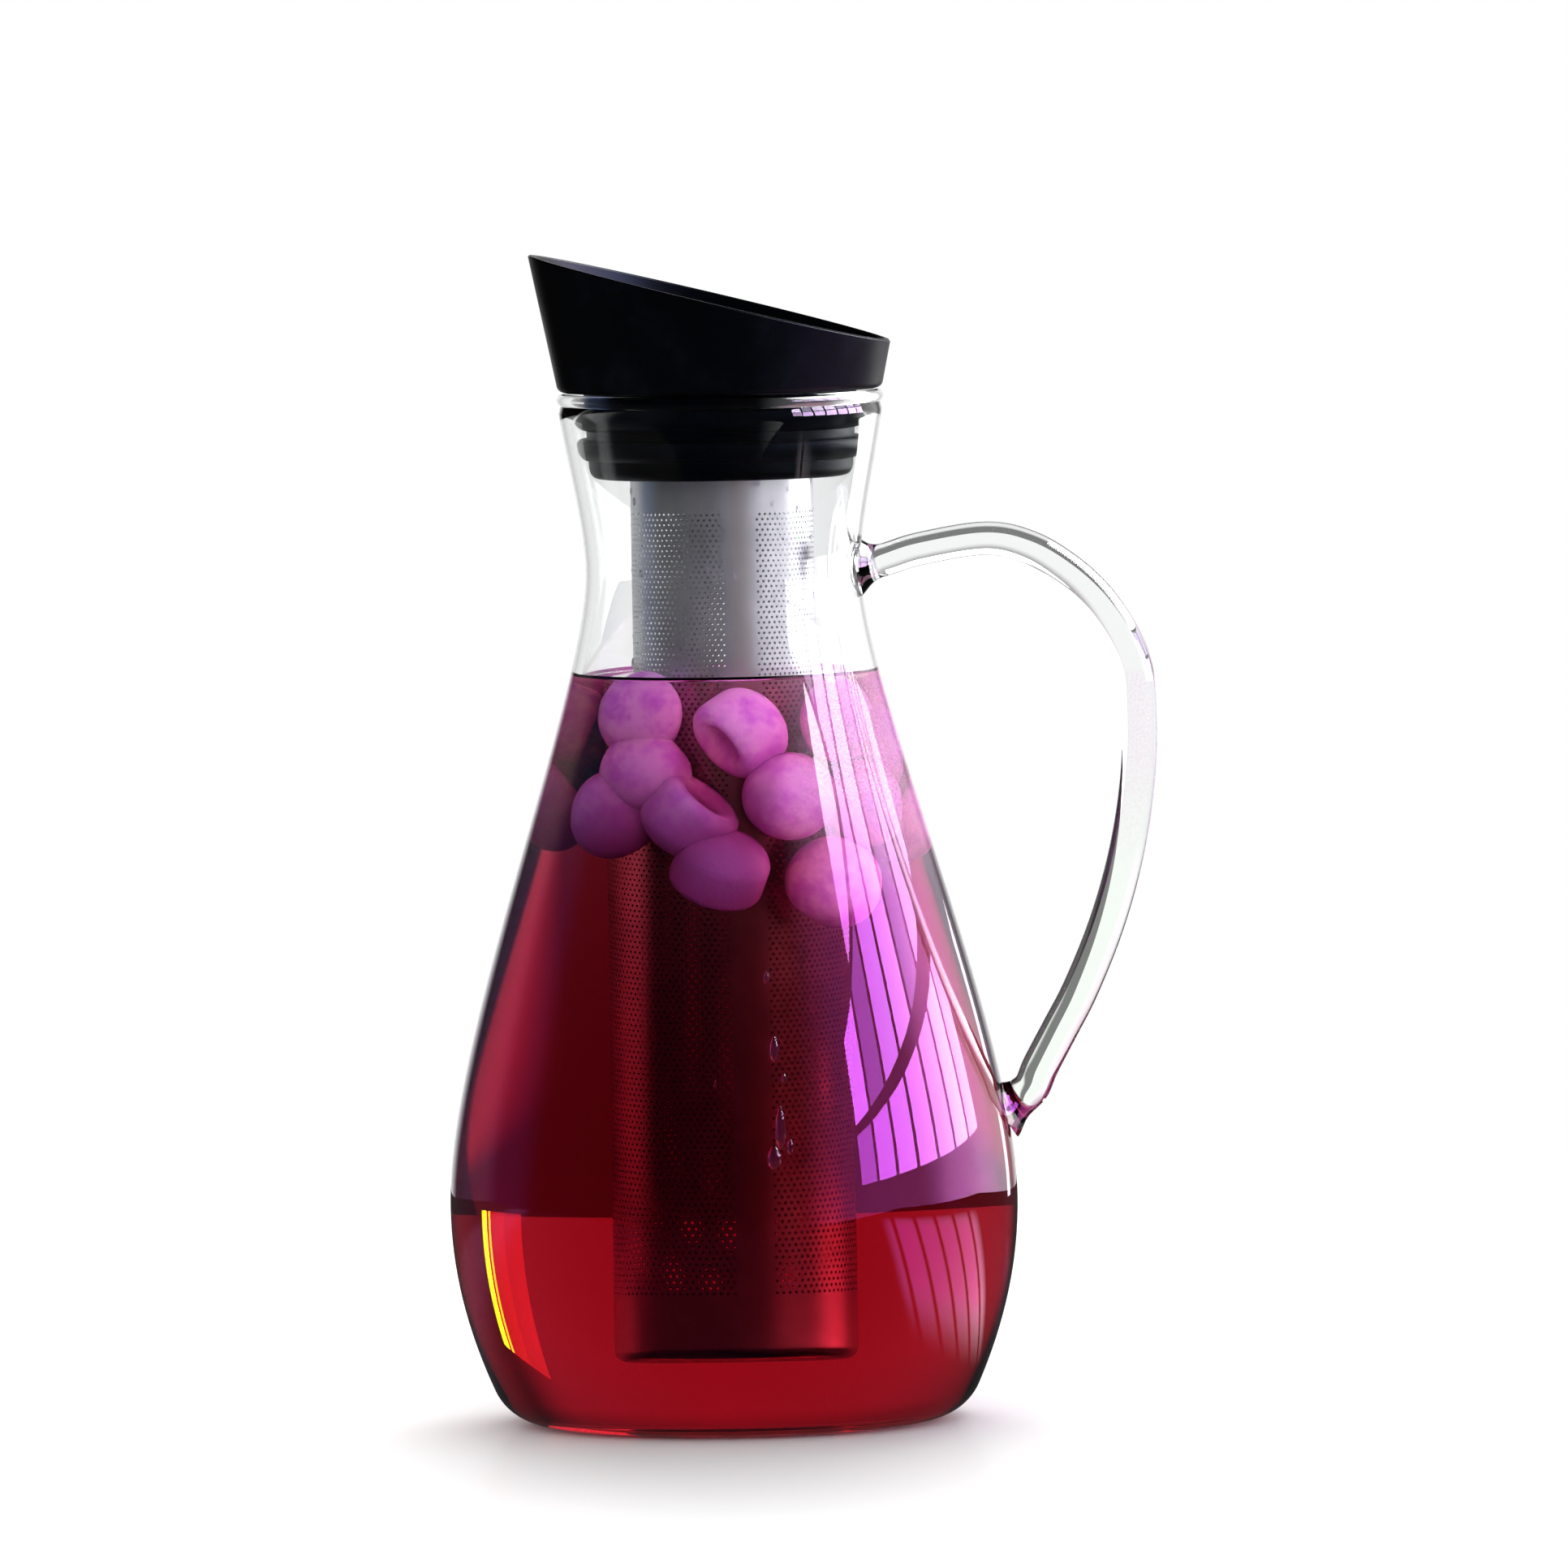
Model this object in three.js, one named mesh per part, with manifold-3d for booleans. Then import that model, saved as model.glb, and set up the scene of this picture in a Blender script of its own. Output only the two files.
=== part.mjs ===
// Iced tea maker: a glass carafe with a glass handle, a black pour-through stopper with a slanted collar,
// and a long perforated steel infuser that hangs from the stopper.
// Units are millimetres. +Z is up. The origin is the centre of the carafe's flat base.
// The spout points along -X and the handle along +X.

import * as THREE from "three";
import { mergeVertices } from "three/addons/utils/BufferGeometryUtils.js";
import Module from "manifold-3d";

const wasm = await Module();
wasm.setup();

// Glass carafe
const glassWall = 2.6;
const floorThickness = 4;
const baseRadius = 47;
const baseCornerRadius = 14;
const baseCornerTurn = 66; // degrees that the base corner turns through before the wall takes over
const bellyRadius = 70;
const bellyHeight = 54;
const neckRadius = 33.8;
const neckHeight = 210;
const mouthRadius = 39.8;
const mouthRise = 39; // from the neck's narrowest point up to the mouth
const mouthLean = 8; // degrees that the flared mouth still leans outwards at its top
const rimRise = 5; // from the mouth up to the top of the rim
const rimBeadRadius = 1.7;
const rimBeadStart = 60; // degrees below the horizontal where the fire-polished bead begins

// Glass handle: a bent rod between two knobs on the wall
const rodRadius = 4.2;
const knobFlare = 3; // how much wider a knob is at the wall than where it meets the rod
const knobStep = 0.5; // how much wider a knob's end face is than the rod
const upperKnobLength = 4.6;
const upperKnobRise = 1.3; // above the neck's narrowest point
const upperKnobTilt = 23; // degrees above the horizontal
const lowerKnobLength = 5.4;
const lowerKnobRise = 27.5; // above the belly's widest point
const lowerKnobTilt = 60; // degrees above the horizontal
const handleStandoff = 32.3; // from the belly's side out to the middle of the rod at its widest
const handleDrop = 40.3; // from the upper knob down to where the rod is widest

// Fits
const clearance = 0.3; // left between pieces that seat on each other
const pinClearance = 0.1;
const overrun = 2; // how far a cutter runs past what it cuts

// Pouring collar
const collarOverhang = 0.4; // how far the collar's foot reaches out past the mouth
const collarFlare = 11; // degrees that the collar widens by on its way up
const collarWall = 2.2;
const collarFloor = 3;
const collarCorner = 1.8;
const spoutHeight = 34;
const backHeight = 11.5;

// Stopper core
const plugTopGap = 3.3; // between the plug and the mouth's bead
const plugBottomGap = 2; // between the plug's lower end and the neck
const plugDepth = 21;
const plugCorner = 2.2;
const skirtWall = 2;
const socketWall = 1.2;
const socketLift = 1.5; // how far the infuser socket stops short of the plug's lower edge
const deckThickness = 2.4;
const deckOverhang = 2.4; // how far the deck reaches out over the collar's floor
const portCount = 5;
const portTurn = 22; // degrees that one port spans
const portRib = 6; // degrees that the web between two ports spans
const portMargin = 0.2; // between a port and the walls on either side of it
const ventCount = 3;
const ventRadius = 1.2;
const ventTurn = 30; // degrees between vents
const ribThickness = 1.5;
const ribLift = 6; // how far the ribs stop short of the plug's lower edge

// Silicone seal rings
const sealHeight = 5.2;
const sealBevel = 1;
const sealGroove = 1;
const upperSealDrop = 4.1; // from the collar's underside to the ring's top
const lowerSealDrop = 11.5;

// Pour flap and its hinge
const flapThickness = 1;
const flapMargin = 2; // how far the flap reaches past the ports
const hingeOffset = 3; // from the stopper's axis towards the handle
const pinRadius = 1;
const barrelWall = 1;
const barrelLength = 20;
const earThickness = 3;
const earWall = 1.6;

// Infuser
const infuserRadius = 22.5;
const infuserWall = 0.5;
const infuserLift = 21.3; // from the carafe's base to the infuser's underside
const infuserCorner = 2.5;
const infuserEngagement = 14; // how far the tube reaches up into the plug
const capUpstand = 4;
const collarSkirt = 9;
const ringWall = 0.5;
const ringLip = 0.8;
const holeRadius = 2.2;
const holeColumns = 12;
const holeRows = 10;
const seamTurn = -79; // degrees from +X to the rolled sheet's seam, which stays plain
const plainBandTop = 8; // unperforated band under the plug
const plainBandBottom = 9;
const capHoleRadius = 1.5;
const capHoleRings = 1;
const capHolePitch = 11;

// Facets
const roundSides = 36;
const smallSides = 16;
const holeSides = 6;
const rodSides = 14;
const cornerSteps = 4;
const lowerSteps = 5;
const shoulderSteps = 10;
const flareSteps = 4;
const rimSteps = 5;
const sealSteps = 4;
const rodSteps = 36;

const turn = THREE.MathUtils.degToRad;

const glass = new THREE.MeshStandardMaterial({
  color: 0xe6f0ee,
  roughness: 0.03,
  metalness: 0,
  transparent: true,
  opacity: 0.35,
});
const blackPlastic = new THREE.MeshStandardMaterial({ color: 0x0b0b0d, roughness: 0.55, metalness: 0 });
const silicone = new THREE.MeshStandardMaterial({ color: 0x101216, roughness: 0.4, metalness: 0 });
const steel = new THREE.MeshStandardMaterial({ color: 0xb9bec2, roughness: 0.28, metalness: 1 });

// A closed geometry as a solid that can be joined and cut.
function solidOf(geometry) {
  const bare = geometry.index ? geometry.toNonIndexed() : geometry.clone();
  bare.deleteAttribute("normal");
  bare.deleteAttribute("uv");
  const merged = mergeVertices(bare, 1e-4);
  return new wasm.Manifold(
    new wasm.Mesh({
      numProp: 3,
      vertProperties: merged.attributes.position.array,
      triVerts: new Uint32Array(merged.index.array),
    }),
  );
}

function geometryOf(solid) {
  const mesh = solid.getMesh();
  const geometry = new THREE.BufferGeometry();
  geometry.setAttribute("position", new THREE.BufferAttribute(mesh.vertProperties, 3));
  geometry.setIndex(new THREE.BufferAttribute(mesh.triVerts, 1));
  geometry.computeVertexNormals();
  return geometry;
}

function named(name, solid, material) {
  const mesh = new THREE.Mesh(geometryOf(solid), material);
  mesh.name = name;
  return mesh;
}

// Turns a profile of [radius, height] pairs about the Z axis.
function revolve(profile, sides = roundSides) {
  const points = profile.map(([r, z]) => new THREE.Vector2(r, z));
  return solidOf(new THREE.LatheGeometry(points, sides).rotateX(Math.PI / 2));
}

// A ring or tube whose section is the closed outline given.
function revolveRing(outline, sides = roundSides) {
  return revolve([...outline, outline[0]], sides);
}

// A round bar from one point towards another, its radius changing from the first to the second end.
function bar(from, to, startRadius, endRadius, sides = smallSides) {
  const along = to.clone().sub(from);
  const geometry = new THREE.CylinderGeometry(endRadius, startRadius, along.length(), sides);
  const place = new THREE.Quaternion().setFromUnitVectors(new THREE.Vector3(0, 1, 0), along.normalize());
  geometry.applyQuaternion(place);
  const middle = from.clone().add(to).multiplyScalar(0.5);
  geometry.translate(middle.x, middle.y, middle.z);
  return solidOf(geometry);
}

function box(low, high) {
  const size = high.map((h, i) => h - low[i]);
  const geometry = new THREE.BoxGeometry(...size);
  geometry.translate(...high.map((h, i) => (h + low[i]) / 2));
  return solidOf(geometry);
}

// A flat plate of the outline given, from one height to another.
function plate(shape, bottom, top, steps = 10) {
  const geometry = new THREE.ExtrudeGeometry(shape, {
    depth: top - bottom,
    bevelEnabled: false,
    curveSegments: steps,
  });
  geometry.translate(0, 0, bottom);
  return solidOf(geometry);
}

function arcPoints(centre, radius, fromTurn, toTurn, steps) {
  return Array.from({ length: steps + 1 }, (_, i) => {
    const angle = turn(fromTurn + ((toTurn - fromTurn) * i) / steps);
    return [centre[0] + radius * Math.cos(angle), centre[1] + radius * Math.sin(angle)];
  });
}

function bezierPoints(a, b, c, d, steps) {
  const curve = new THREE.CubicBezierCurve(...[a, b, c, d].map(([r, z]) => new THREE.Vector2(r, z)));
  return curve.getPoints(steps).map((p) => [p.x, p.y]);
}

// Radius of a rising polyline at a height.
function radiusAt(line, height) {
  const next = line.findIndex(([, z]) => z >= height);
  const [r1, z1] = line[Math.max(next, 1)];
  const [r0, z0] = line[Math.max(next, 1) - 1];
  return r0 + ((r1 - r0) * (height - z0)) / (z1 - z0);
}

// The carafe's outside wall from the base's edge to the top of the flared mouth. Each stretch leaves in the
// direction that the last one arrived in, and the shares say how long each curve holds its end directions.
const mouthHeight = neckHeight + mouthRise;
const glassHeight = mouthHeight + rimRise;
const lowerFullnessShare = 0.35;
const bellyFullnessShare = 0.27;
const neckFullnessShare = 0.19;
const flareFullnessShare = 0.28;
function outsideWall() {
  const cornerCentre = [baseRadius, baseCornerRadius];
  const corner = arcPoints(cornerCentre, baseCornerRadius, -90, baseCornerTurn - 90, cornerSteps);
  const cornerEnd = corner[corner.length - 1];
  const lean = turn(90 - baseCornerTurn);
  const lowerPull = (bellyHeight - cornerEnd[1]) * lowerFullnessShare;
  const lower = bezierPoints(
    cornerEnd,
    [cornerEnd[0] + lowerPull * Math.sin(lean), cornerEnd[1] + lowerPull * Math.cos(lean)],
    [bellyRadius, bellyHeight - lowerPull],
    [bellyRadius, bellyHeight],
    lowerSteps,
  );
  const rise = neckHeight - bellyHeight;
  const shoulder = bezierPoints(
    [bellyRadius, bellyHeight],
    [bellyRadius, bellyHeight + rise * bellyFullnessShare],
    [neckRadius, neckHeight - rise * neckFullnessShare],
    [neckRadius, neckHeight],
    shoulderSteps,
  );
  const flarePull = (mouthHeight - neckHeight) * flareFullnessShare;
  const flare = bezierPoints(
    [neckRadius, neckHeight],
    [neckRadius, neckHeight + flarePull],
    [mouthRadius - flarePull * Math.sin(turn(mouthLean)), mouthHeight - flarePull * Math.cos(turn(mouthLean))],
    [mouthRadius, mouthHeight],
    flareSteps,
  );
  return [...corner, ...lower.slice(1), ...shoulder.slice(1), ...flare.slice(1)];
}

// The same wall moved inwards by the glass thickness, cut off at the inside floor.
function insideWall(outside) {
  const moved = outside.map(([r, z], i) => {
    const before = outside[Math.max(i - 1, 0)];
    const after = outside[Math.min(i + 1, outside.length - 1)];
    const dr = after[0] - before[0];
    const dz = after[1] - before[1];
    const length = Math.hypot(dr, dz);
    return [r - (dz / length) * glassWall, z + (dr / length) * glassWall];
  });
  const above = moved.filter(([, z]) => z > floorThickness);
  return [[radiusAt(moved, floorThickness), floorThickness], ...above];
}

const outside = outsideWall();
const inside = insideWall(outside);
const rimCentre = [mouthRadius - glassWall / 2, glassHeight - rimBeadRadius];
const rimBead = arcPoints(rimCentre, rimBeadRadius, -rimBeadStart, 180 + rimBeadStart, rimSteps);
const mouthInside = rimCentre[0] - rimBeadRadius;

// The rod's middle line, from the upper knob over the top and down to the lower knob.
const upperHoldShare = 0.7;
const upperDropShare = 0.7;
const lowerDropShare = 0.45;
const lowerHoldShare = 0.25;
const upperKnobHeight = neckHeight + upperKnobRise;
const lowerKnobHeight = bellyHeight + lowerKnobRise;
const handleReach = bellyRadius + handleStandoff;
const handleReachHeight = upperKnobHeight - handleDrop;
const rodStart = [radiusAt(outside, upperKnobHeight) + upperKnobLength, upperKnobHeight];
const rodEnd = [
  radiusAt(outside, lowerKnobHeight) + lowerKnobLength * Math.sin(turn(lowerKnobTilt)) + rodRadius / 2,
  lowerKnobHeight,
];
function handleLine() {
  const point = ([x, z]) => new THREE.Vector3(x, 0, z);
  const widest = [handleReach, handleReachHeight];
  const reach = handleReach - rodStart[0];
  const drop = upperKnobHeight - handleReachHeight;
  const fall = handleReachHeight - rodEnd[1];
  const upperHold = reach * upperHoldShare;
  const lowerHold = fall * lowerHoldShare;
  const line = new THREE.CurvePath();
  line.add(
    new THREE.CubicBezierCurve3(
      point(rodStart),
      point([
        rodStart[0] + upperHold * Math.cos(turn(upperKnobTilt)),
        rodStart[1] + upperHold * Math.sin(turn(upperKnobTilt)),
      ]),
      point([handleReach, handleReachHeight + drop * upperDropShare]),
      point(widest),
    ),
  );
  line.add(
    new THREE.CubicBezierCurve3(
      point(widest),
      point([handleReach, handleReachHeight - fall * lowerDropShare]),
      point([
        rodEnd[0] + lowerHold * Math.cos(turn(lowerKnobTilt)),
        rodEnd[1] + lowerHold * Math.sin(turn(lowerKnobTilt)),
      ]),
      point(rodEnd),
    ),
  );
  return line;
}

// A knob of glass drawn out of the wall to the end of the rod, widening in two steps towards the wall.
function knob(end, tilt, length) {
  const inwards = new THREE.Vector3(-Math.cos(turn(tilt)), 0, -Math.sin(turn(tilt)));
  const face = new THREE.Vector3(end[0], 0, end[1]).addScaledVector(inwards, clearance);
  const waist = face.clone().addScaledVector(inwards, length / 2);
  const root = face.clone().addScaledVector(inwards, length + glassWall);
  const faceRadius = rodRadius + knobStep;
  const waistRadius = faceRadius + knobFlare / 4;
  return bar(face, waist, faceRadius, waistRadius, rodSides).add(
    bar(waist, root, waistRadius, faceRadius + knobFlare, rodSides),
  );
}

function glassBody() {
  const shell = revolve([[0, 0], ...outside, ...rimBead, [0, glassHeight - rimBeadRadius]]);
  const hollow = revolve([
    [0, floorThickness],
    ...inside,
    rimBead[rimBead.length - 1],
    [mouthInside, rimCentre[1]],
    [mouthInside, glassHeight + overrun],
    [0, glassHeight + overrun],
  ]);
  return shell
    .add(knob(rodStart, upperKnobTilt, upperKnobLength))
    .add(knob(rodEnd, lowerKnobTilt, lowerKnobLength))
    .subtract(hollow);
}

function glassHandle() {
  const section = new THREE.Shape().absarc(0, 0, rodRadius, 0, 2 * Math.PI);
  return solidOf(
    new THREE.ExtrudeGeometry(section, {
      steps: rodSteps,
      curveSegments: rodSides / 2,
      extrudePath: handleLine(),
      bevelEnabled: false,
    }),
  );
}

// Heights in the stopper, all counted from the rim that it rests on.
const collarBottom = glassHeight + clearance;
const deckBottom = collarBottom + collarFloor + clearance;
const deckTop = deckBottom + deckThickness;
const plugBottom = collarBottom - plugDepth;
const collarRadius = mouthRadius + collarOverhang;
const plugTopRadius = mouthInside - plugTopGap;
const plugBottomRadius = radiusAt(inside, plugBottom) - plugBottomGap;
const collarHole = plugTopRadius + clearance;
const skirtInside = plugBottomRadius - skirtWall;
const infuserTop = plugBottom + infuserEngagement;
const collarOuterInside = infuserRadius + clearance + ringWall;
const socketInside = collarOuterInside + clearance;
const socketOutside = socketInside + socketWall;
const portInner = socketOutside + portMargin;
const portOuter = skirtInside - portMargin;

function collarRadiusAt(height) {
  return collarRadius + (height - collarBottom) * Math.tan(turn(collarFlare));
}

function pouringCollar() {
  const tall = collarBottom + spoutHeight + overrun;
  const floorTop = collarBottom + collarFloor;
  const corner = arcPoints(
    [collarRadius - collarCorner, collarBottom + collarCorner],
    collarCorner,
    -90,
    -collarFlare,
    cornerSteps,
  );
  const body = revolveRing([
    [collarHole, collarBottom],
    ...corner,
    [collarRadiusAt(tall), tall],
    [collarRadiusAt(tall) - collarWall, tall],
    [collarRadiusAt(floorTop) - collarWall, floorTop],
    [collarHole, floorTop],
  ]);
  const tip = [-collarRadiusAt(collarBottom + spoutHeight), collarBottom + spoutHeight];
  const back = [collarRadiusAt(collarBottom + backHeight), collarBottom + backHeight];
  const slope = (back[1] - tip[1]) / (back[0] - tip[0]);
  const far = collarRadiusAt(tall) + overrun;
  const heightAt = (x) => tip[1] + (x - tip[0]) * slope;
  const above = new THREE.Shape([
    new THREE.Vector2(-far, heightAt(-far)),
    new THREE.Vector2(far, heightAt(far)),
    new THREE.Vector2(far, tall + overrun),
    new THREE.Vector2(-far, tall + overrun),
  ]);
  const wedge = new THREE.ExtrudeGeometry(above, { depth: 2 * far, bevelEnabled: false });
  wedge.rotateX(Math.PI / 2).translate(0, far, 0);
  return body.subtract(solidOf(wedge));
}

// A slot between two radii that spans a turn about the direction given, in degrees from +X.
function arcSlot(inner, outer, towards, span) {
  const from = turn(towards - span / 2);
  const to = turn(towards + span / 2);
  const shape = new THREE.Shape();
  shape.absarc(0, 0, outer, from, to, false);
  shape.absarc(0, 0, inner, to, from, true);
  return shape;
}

const barrelRadius = pinRadius + pinClearance + barrelWall;
const hingeHeight = deckTop + clearance + barrelRadius;
const earRadius = pinRadius + pinClearance + earWall;
const earInside = barrelLength / 2 + clearance;
const pinReach = earInside + earThickness;

function plugRadiusAt(height) {
  const share = (height - plugBottom) / plugDepth;
  return plugBottomRadius + (plugTopRadius - plugBottomRadius) * share;
}

function sealTop(drop) {
  return collarBottom - drop;
}

function acrossY(x, z, radius, halfLength, sides = smallSides) {
  return bar(new THREE.Vector3(x, -halfLength, z), new THREE.Vector3(x, halfLength, z), radius, radius, sides);
}

// Lug that stands on the deck and holds one end of the flap's pin.
function hingeEar(side) {
  const near = side > 0 ? earInside : -pinReach;
  const far = side > 0 ? pinReach : -earInside;
  const round = bar(
    new THREE.Vector3(hingeOffset, near, hingeHeight),
    new THREE.Vector3(hingeOffset, far, hingeHeight),
    earRadius,
    earRadius,
  );
  const foot = box(
    [hingeOffset - earRadius, near, deckTop - deckThickness / 2],
    [hingeOffset + earRadius, far, hingeHeight],
  );
  return round.add(foot);
}

function stopperCore() {
  const deckRadius = collarHole + deckOverhang;
  const corner = arcPoints(
    [plugBottomRadius - plugCorner, plugBottom + plugCorner],
    plugCorner,
    -90,
    0,
    cornerSteps,
  );
  const body = revolve([
    [0, deckBottom],
    [socketInside, deckBottom],
    [socketInside, plugBottom + socketLift],
    [socketOutside, plugBottom + socketLift],
    [socketOutside, deckBottom],
    [skirtInside, deckBottom],
    [skirtInside, plugBottom],
    ...corner,
    [plugTopRadius, collarBottom],
    [plugTopRadius, deckBottom],
    [deckRadius, deckBottom],
    [deckRadius, deckTop],
    [0, deckTop],
  ]);
  // one rib under each web between ports, and one on either side of the vents
  const webs = Array.from({ length: portCount - 1 }, (_, i) => {
    return 180 + (i - (portCount - 2) / 2) * (portTurn + portRib);
  });
  const besideVents = [-1, 1].map((side) => (side * ventCount * ventTurn) / 2);
  const ribs = [...webs, ...besideVents].map((middle) => {
    const span = THREE.MathUtils.radToDeg(ribThickness / ((socketOutside + skirtInside) / 2));
    return plate(
      arcSlot(socketOutside - socketWall / 2, skirtInside + skirtWall / 2, middle, span),
      plugBottom + ribLift,
      deckTop - deckThickness / 2,
      1,
    );
  });
  const ports = Array.from({ length: portCount }, (_, i) => {
    const towards = 180 + (i - (portCount - 1) / 2) * (portTurn + portRib);
    return plate(arcSlot(portInner, portOuter, towards, portTurn), deckBottom - overrun, deckTop + overrun, 3);
  });
  const ventPlace = (portInner + portOuter) / 2;
  const vents = Array.from({ length: ventCount }, (_, i) => {
    const angle = turn((i - (ventCount - 1) / 2) * ventTurn);
    const hole = new THREE.Vector3(ventPlace * Math.cos(angle), ventPlace * Math.sin(angle), 0);
    return bar(hole.clone().setZ(deckBottom - overrun), hole.clone().setZ(deckTop + overrun), ventRadius, ventRadius, 8);
  });
  const grooves = [upperSealDrop, lowerSealDrop].map((drop) => {
    const top = sealTop(drop) + clearance;
    const bottom = sealTop(drop) - sealHeight - clearance;
    return revolveRing([
      [plugRadiusAt(bottom) - sealGroove, bottom],
      [plugTopRadius + overrun, bottom],
      [plugTopRadius + overrun, top],
      [plugRadiusAt(bottom) - sealGroove, top],
    ]);
  });
  const pinHole = acrossY(hingeOffset, hingeHeight, pinRadius + pinClearance, pinReach + overrun);
  let core = body.add(hingeEar(1)).add(hingeEar(-1));
  ribs.forEach((rib) => (core = core.add(rib)));
  [...ports, ...vents, ...grooves, pinHole].forEach((cutter) => (core = core.subtract(cutter)));
  return core;
}

// A lip ring: flat on top, bevelled at its edge and rounded under it, in a groove of the plug.
function sealRing(drop, reach) {
  const top = sealTop(drop);
  const bottom = top - sealHeight;
  const root = plugRadiusAt(bottom) - sealGroove + clearance;
  const lipRoot = plugRadiusAt(bottom);
  const fall = sealHeight - sealBevel;
  const under = Array.from({ length: sealSteps + 1 }, (_, i) => {
    const angle = turn(-90 + (90 * i) / sealSteps);
    return [lipRoot + (reach - lipRoot) * Math.cos(angle), bottom + fall + fall * Math.sin(angle)];
  });
  return revolveRing([[root, bottom], ...under, [reach - sealBevel, top], [root, top]]);
}

const upperSealReach = mouthInside - clearance;
const lowerSealReach = radiusAt(inside, sealTop(lowerSealDrop) - 2 * sealBevel) - clearance;

function pourFlap() {
  const flapRadius = portOuter + flapMargin;
  const bottom = deckTop + clearance;
  const edge = hingeOffset - earRadius - clearance;
  const halfTurn = Math.acos(edge / flapRadius);
  const outline = new THREE.Shape();
  outline.absarc(0, 0, flapRadius, halfTurn, 2 * Math.PI - halfTurn, false);
  const tongue = box(
    [edge - flapThickness, -barrelLength / 2, bottom],
    [hingeOffset, barrelLength / 2, bottom + flapThickness],
  );
  return plate(outline, bottom, bottom + flapThickness, 24)
    .add(tongue)
    .add(acrossY(hingeOffset, hingeHeight, barrelRadius, barrelLength / 2))
    .subtract(acrossY(hingeOffset, hingeHeight, pinRadius + pinClearance, barrelLength));
}

function flapPin() {
  return acrossY(hingeOffset, hingeHeight, pinRadius, pinReach);
}

// Staggered rows of holes round the tube. Every other row would have a hole on the seam, and leaves it out.
const tubeBottom = infuserLift + infuserCorner + clearance;
function infuserTube() {
  const innerRadius = infuserRadius - infuserWall;
  const tube = revolveRing([
    [innerRadius, tubeBottom],
    [infuserRadius, tubeBottom],
    [infuserRadius, infuserTop],
    [innerRadius, infuserTop],
  ]);
  const first = infuserLift + infuserCorner + plainBandBottom + holeRadius;
  const last = plugBottom - plainBandTop - holeRadius;
  const pitch = (last - first) / (holeRows - 1);
  const columnTurn = 360 / holeColumns;
  const holes = [];
  for (let row = 0; row < holeRows; row += 1) {
    const stagger = row % 2;
    for (let column = 1 - stagger; column < holeColumns; column += 1) {
      const angle = turn(seamTurn + columnTurn * (column + stagger / 2));
      const outwards = new THREE.Vector3(Math.cos(angle), Math.sin(angle), 0);
      const near = outwards.clone().multiplyScalar(innerRadius - overrun).setZ(first + row * pitch);
      const far = outwards.clone().multiplyScalar(infuserRadius + overrun).setZ(first + row * pitch);
      holes.push(bar(near, far, holeRadius, holeRadius, holeSides));
    }
  }
  return tube.subtract(wasm.Manifold.union(holes));
}

// Pressed cap: its rounded edge carries the tube, and its upstand goes inside the tube.
function infuserBase() {
  const corner = arcPoints(
    [infuserRadius - infuserCorner, infuserLift + infuserCorner],
    infuserCorner,
    -90,
    0,
    cornerSteps,
  );
  const upstand = infuserRadius - infuserWall - clearance;
  const floorTop = infuserLift + infuserWall;
  let cap = revolve([
    [0, infuserLift],
    ...corner,
    [upstand, infuserLift + infuserCorner],
    [upstand, tubeBottom + capUpstand],
    [upstand - infuserWall, tubeBottom + capUpstand],
    [upstand - infuserWall, floorTop],
    [0, floorTop],
  ]);
  for (let ring = 0; ring <= capHoleRings; ring += 1) {
    const count = Math.max(6 * ring, 1);
    for (let i = 0; i < count; i += 1) {
      const angle = (2 * Math.PI * i) / count;
      const place = new THREE.Vector3(Math.cos(angle), Math.sin(angle), 0).multiplyScalar(ring * capHolePitch);
      cap = cap.subtract(
        bar(
          place.clone().setZ(infuserLift - overrun),
          place.clone().setZ(floorTop + overrun),
          capHoleRadius,
          capHoleRadius,
          holeSides,
        ),
      );
    }
  }
  return cap;
}

// Ring over the tube's top edge, the piece that is pushed into the socket.
function infuserCollar() {
  const inner = infuserRadius + clearance;
  const outer = inner + ringWall;
  const lipBottom = infuserTop + clearance;
  const lipInside = infuserRadius - infuserWall;
  return revolveRing([
    [inner, infuserTop - collarSkirt],
    [outer, infuserTop - collarSkirt],
    [outer, lipBottom + ringLip / 2],
    [outer - ringLip / 2, lipBottom + ringLip],
    [lipInside, lipBottom + ringLip],
    [lipInside, lipBottom],
    [inner, lipBottom],
  ]);
}

const icedTeaMaker = new THREE.Group();
icedTeaMaker.name = "iced_tea_maker";

const carafe = new THREE.Group();
carafe.add(named("glass_body", glassBody(), glass));
carafe.add(named("glass_handle", glassHandle(), glass));

const stopper = new THREE.Group();
stopper.add(named("pouring_collar", pouringCollar(), blackPlastic));
stopper.add(named("stopper_core", stopperCore(), blackPlastic));
stopper.add(named("upper_seal_ring", sealRing(upperSealDrop, upperSealReach), silicone));
stopper.add(named("lower_seal_ring", sealRing(lowerSealDrop, lowerSealReach), silicone));
stopper.add(named("flap_pin", flapPin(), steel));
stopper.add(named("pour_flap", pourFlap(), steel));

const infuser = new THREE.Group();
infuser.add(named("infuser_tube", infuserTube(), steel));
infuser.add(named("infuser_base", infuserBase(), steel));
infuser.add(named("infuser_collar", infuserCollar(), steel));

icedTeaMaker.add(carafe, stopper, infuser);

export default icedTeaMaker;
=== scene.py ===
# Looks of an iced tea maker: a blown glass carafe with a fused handle, a black pour-through stopper and a
# perforated steel infuser that hangs in iced red tea. Units are metres and degrees. +Z is up, the spout
# points along -X, the handle along +X, and the camera looks along +Y.

import math
import random

import bmesh
import bpy
from mathutils import Matrix, Vector


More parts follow.
